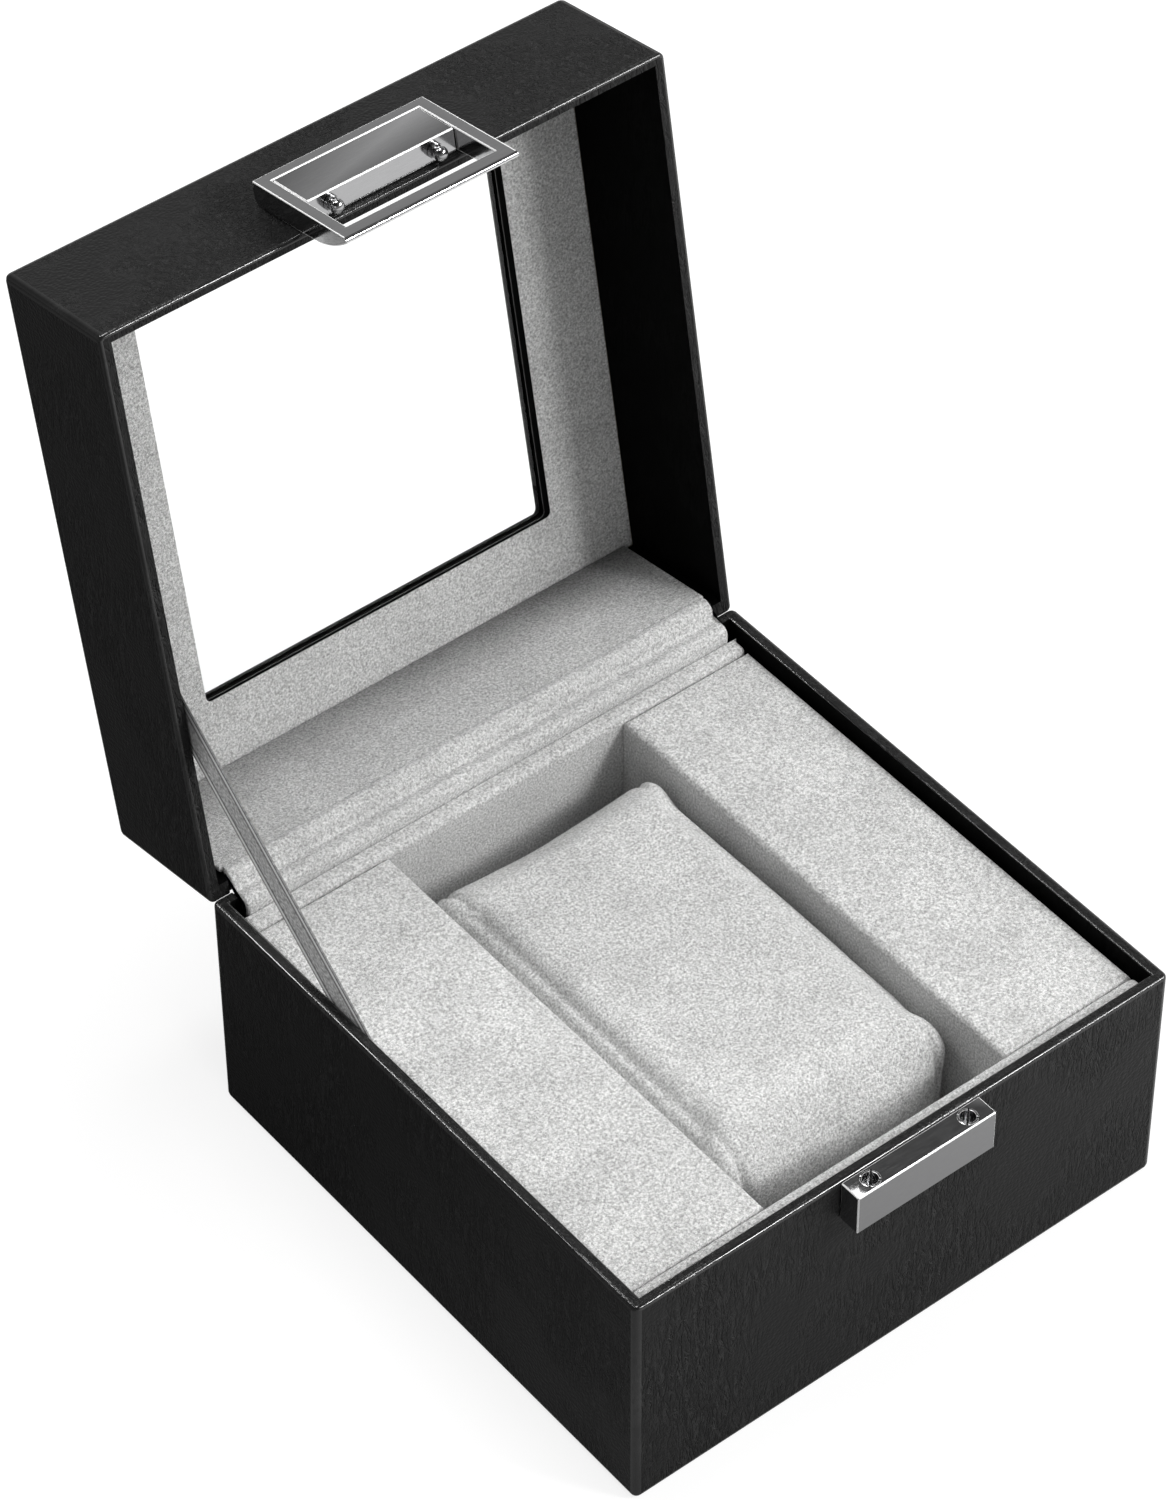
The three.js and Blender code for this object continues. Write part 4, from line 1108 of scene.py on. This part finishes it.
# Stay ribbon. A narrow grey satin ribbon on the left, glued inside both walls, keeps the lid from
# falling back.
ribbon_width = 6.5
ribbon_thick = 0.28
ribbon_x = -47.95
ribbon_middle = (37.66, 58.47)
ribbon_length = 66.27
ribbon_slope = math.radians(40)
ribbon_relief = 3e-5
thread_scale = (14, 110, 1)
thread_tone = (0.30, 0.95)
selvage_start = (0.33, 0.35)
selvage_end = (0.44, 0.46)
groove_shade_span = (0.26, 0.30)
groove_shade_tone = 0.30
shaded_span = (0.26, 0.44)
shaded_tone = 0.10
quarter_turn = math.radians(90)
satin, tree, shader = new_material("grey_satin")
place = add_node(tree, "ShaderNodeTexCoord")


def share_of(direction, length):
    """How far a point lies from the ribbon's middle along a direction, as a share of a length."""
    shift = add_node(tree, "ShaderNodeVectorMath", operation="SUBTRACT")
    shift.inputs[1].default_value = (ribbon_x * MM, ribbon_middle[0] * MM, ribbon_middle[1] * MM)
    tree.links.new(place.outputs["Object"], shift.inputs[0])
    reach = add_node(tree, "ShaderNodeVectorMath", operation="DOT_PRODUCT")
    reach.inputs[1].default_value = direction
    tree.links.new(shift.outputs["Vector"], reach.inputs[0])
    return sums(tree, "DIVIDE", reach.outputs["Value"], length * MM)


lengthwise = share_of((0, math.cos(ribbon_slope), math.sin(ribbon_slope)), ribbon_length)
crosswise = share_of((0, math.sin(ribbon_slope), -math.cos(ribbon_slope)), ribbon_width)
threads = add_node(tree, "ShaderNodeCombineXYZ")
tree.links.new(crosswise, threads.inputs["X"])
tree.links.new(lengthwise, threads.inputs["Y"])
across = add_node(tree, "ShaderNodeMapping")
across.inputs["Scale"].default_value = thread_scale
tree.links.new(threads.outputs["Vector"], across.inputs["Vector"])
weave = noise_over(tree, across.outputs["Vector"], 1.0, detail=3)
from_edge = sums(tree, "ABSOLUTE", crosswise, 0)
selvage_outer = ramp(tree, from_edge, *selvage_end, 1.0, 0.0)
selvage = sums(tree, "MULTIPLY", ramp(tree, from_edge, *selvage_start), selvage_outer)
# Painted shade: the band beside each selvage is painted darker, as shade in the groove there.
groove_shade = ramp(tree, from_edge, *groove_shade_span, 1.0, groove_shade_tone)
tone = ramp(tree, weave.outputs["Fac"], *noise_span, *thread_tone)
raised = sums(tree, "MAXIMUM", sums(tree, "MULTIPLY", tone, groove_shade), selvage)
shaded = ramp(tree, lengthwise, *shaded_span, 1.0, shaded_tone)
level = sums(tree, "MULTIPLY", raised, shaded)
tree.links.new(grey_of(tree, level), shader.inputs["Base Color"])
raise_grain(tree, shader, weave.outputs["Fac"], ribbon_relief)
shader.inputs["Roughness"].default_value = 0.6
shader.inputs["Specular IOR Level"].default_value = 0.15

bpy.ops.object.select_all(action="DESELECT")
bpy.ops.mesh.primitive_grid_add(x_subdivisions=6, y_subdivisions=72, size=1)
ribbon = bpy.context.object
ribbon.name = ribbon.data.name = "satin_stay_ribbon"
ribbon.scale = (ribbon_width * MM, ribbon_length * MM, 1)
bpy.ops.object.transform_apply(location=True, rotation=True, scale=True)
ribbon.matrix_world = (
    Matrix.Translation((ribbon_x * MM, ribbon_middle[0] * MM, ribbon_middle[1] * MM))
    @ Matrix.Rotation(ribbon_slope, 4, "X")
    @ Matrix.Rotation(quarter_turn, 4, "Y")
)
bpy.ops.object.transform_apply(location=True, rotation=True, scale=True)
apply_modifier(ribbon, "SOLIDIFY", thickness=ribbon_thick * MM, offset=0)
bpy.ops.object.shade_smooth_by_angle(angle=math.radians(soft_turn))
dress(ribbon, satin, None, ["stay_ribbon"])
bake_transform(ribbon)

# Clasp on the base. A polished block is screwed to the front wall from inside, with a split spring
# socket let into its top at each end.
polish_scale = (500, 5000, 5000)
bright_metal = metal_coat(
    "bright_metal", (0.43, 0.43, 0.435), roughness=0.14, streaks=0.25, streak_depth=2e-7,
    streak_scale=polish_scale,
)
# The rounded edges of the clasp take a near-white, half-metal finish: a painted highlight that keeps
# every edge bright whichever way it faces.
painted_edge_highlight = metal_coat(
    "painted_edge_highlight", (0.95, 0.95, 0.95), roughness=0.45, streaks=0.10, streak_depth=2e-7,
    streak_scale=polish_scale, metallic=0.2,
)
block_edge = 0.20
block_shortest = 2.0
hasp_shortest = 1.0
socket_edge = 0.03


def fine_copy(node, name, radius, shortest=0.0, steps=2, degrees=35):
    """A copy of a solid with its flat faces made whole and its sharp outer edges rounded.

    Edges up to the shortest length stay sharp."""
    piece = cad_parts[node].copy()
    piece.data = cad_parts[node].data.copy()
    piece.parent = None
    piece.matrix_world = Matrix.Identity(4)
    for key in list(piece.keys()):
        del piece[key]
    bpy.context.scene.collection.objects.link(piece)
    piece.name = piece.data.name = name
    take(piece)
    bpy.ops.object.mode_set(mode="EDIT")
    bpy.ops.mesh.select_all(action="SELECT")
    bpy.ops.mesh.remove_doubles(threshold=1e-6)
    bpy.ops.mesh.dissolve_limited(angle_limit=math.radians(1))
    bpy.ops.mesh.customdata_custom_splitnormals_clear()
    finishes(piece, bright_metal, painted_edge_highlight)
    bpy.ops.mesh.select_mode(type="EDGE")
    bpy.ops.mesh.select_all(action="DESELECT")
    mesh = bmesh.from_edit_mesh(piece.data)
    for face in mesh.faces:
        face.material_index = plain_side
    for edge in mesh.edges:
        sharp = edge.is_convex and edge.calc_face_angle() > math.radians(degrees)
        edge.select_set(sharp and edge.calc_length() > shortest * MM)
    mesh.select_flush_mode()
    bmesh.update_edit_mesh(piece.data)
    # The rounded edges take the painted edge highlight.
    if radius:
        bpy.ops.mesh.bevel(
            offset=radius * MM, segments=steps, affect="EDGES", clamp_overlap=False, material=edge_side
        )
    smooth_over(piece, degrees)
    return piece


strike = fine_copy("strike_block", "strike_block_polished", block_edge, block_shortest)
dress(strike, None, "base", ["strike_block"])
for side in ("left", "right"):
    socket = fine_copy(f"strike_socket_{side}", f"split_socket_{side}", socket_edge)
    dress(socket, None, "base", [f"strike_socket_{side}"])

# Clasp on the lid. A block like the one below, with the knuckle that the hasp hangs on and two round
# studs that press into the sockets.
latch = fine_copy("latch_block", "latch_block_polished", block_edge, block_shortest)
dress(latch, None, "lid", ["latch_block"])
for side in ("left", "right"):
    stud = fine_copy(f"latch_stud_{side}", f"latch_stud_{side}_turned", 0.0)
    dress(stud, None, "lid", [f"latch_stud_{side}"])

# Hasp. A stamped frame hangs on the pin round both blocks. Its near bar is rolled into a finger lip,
# and the ridge on it catches under the block of the base.
hasp = fine_copy("hasp_frame", "hasp_frame_polished", block_edge, hasp_shortest)
dress(hasp, None, "hasp", ["hasp_frame"])
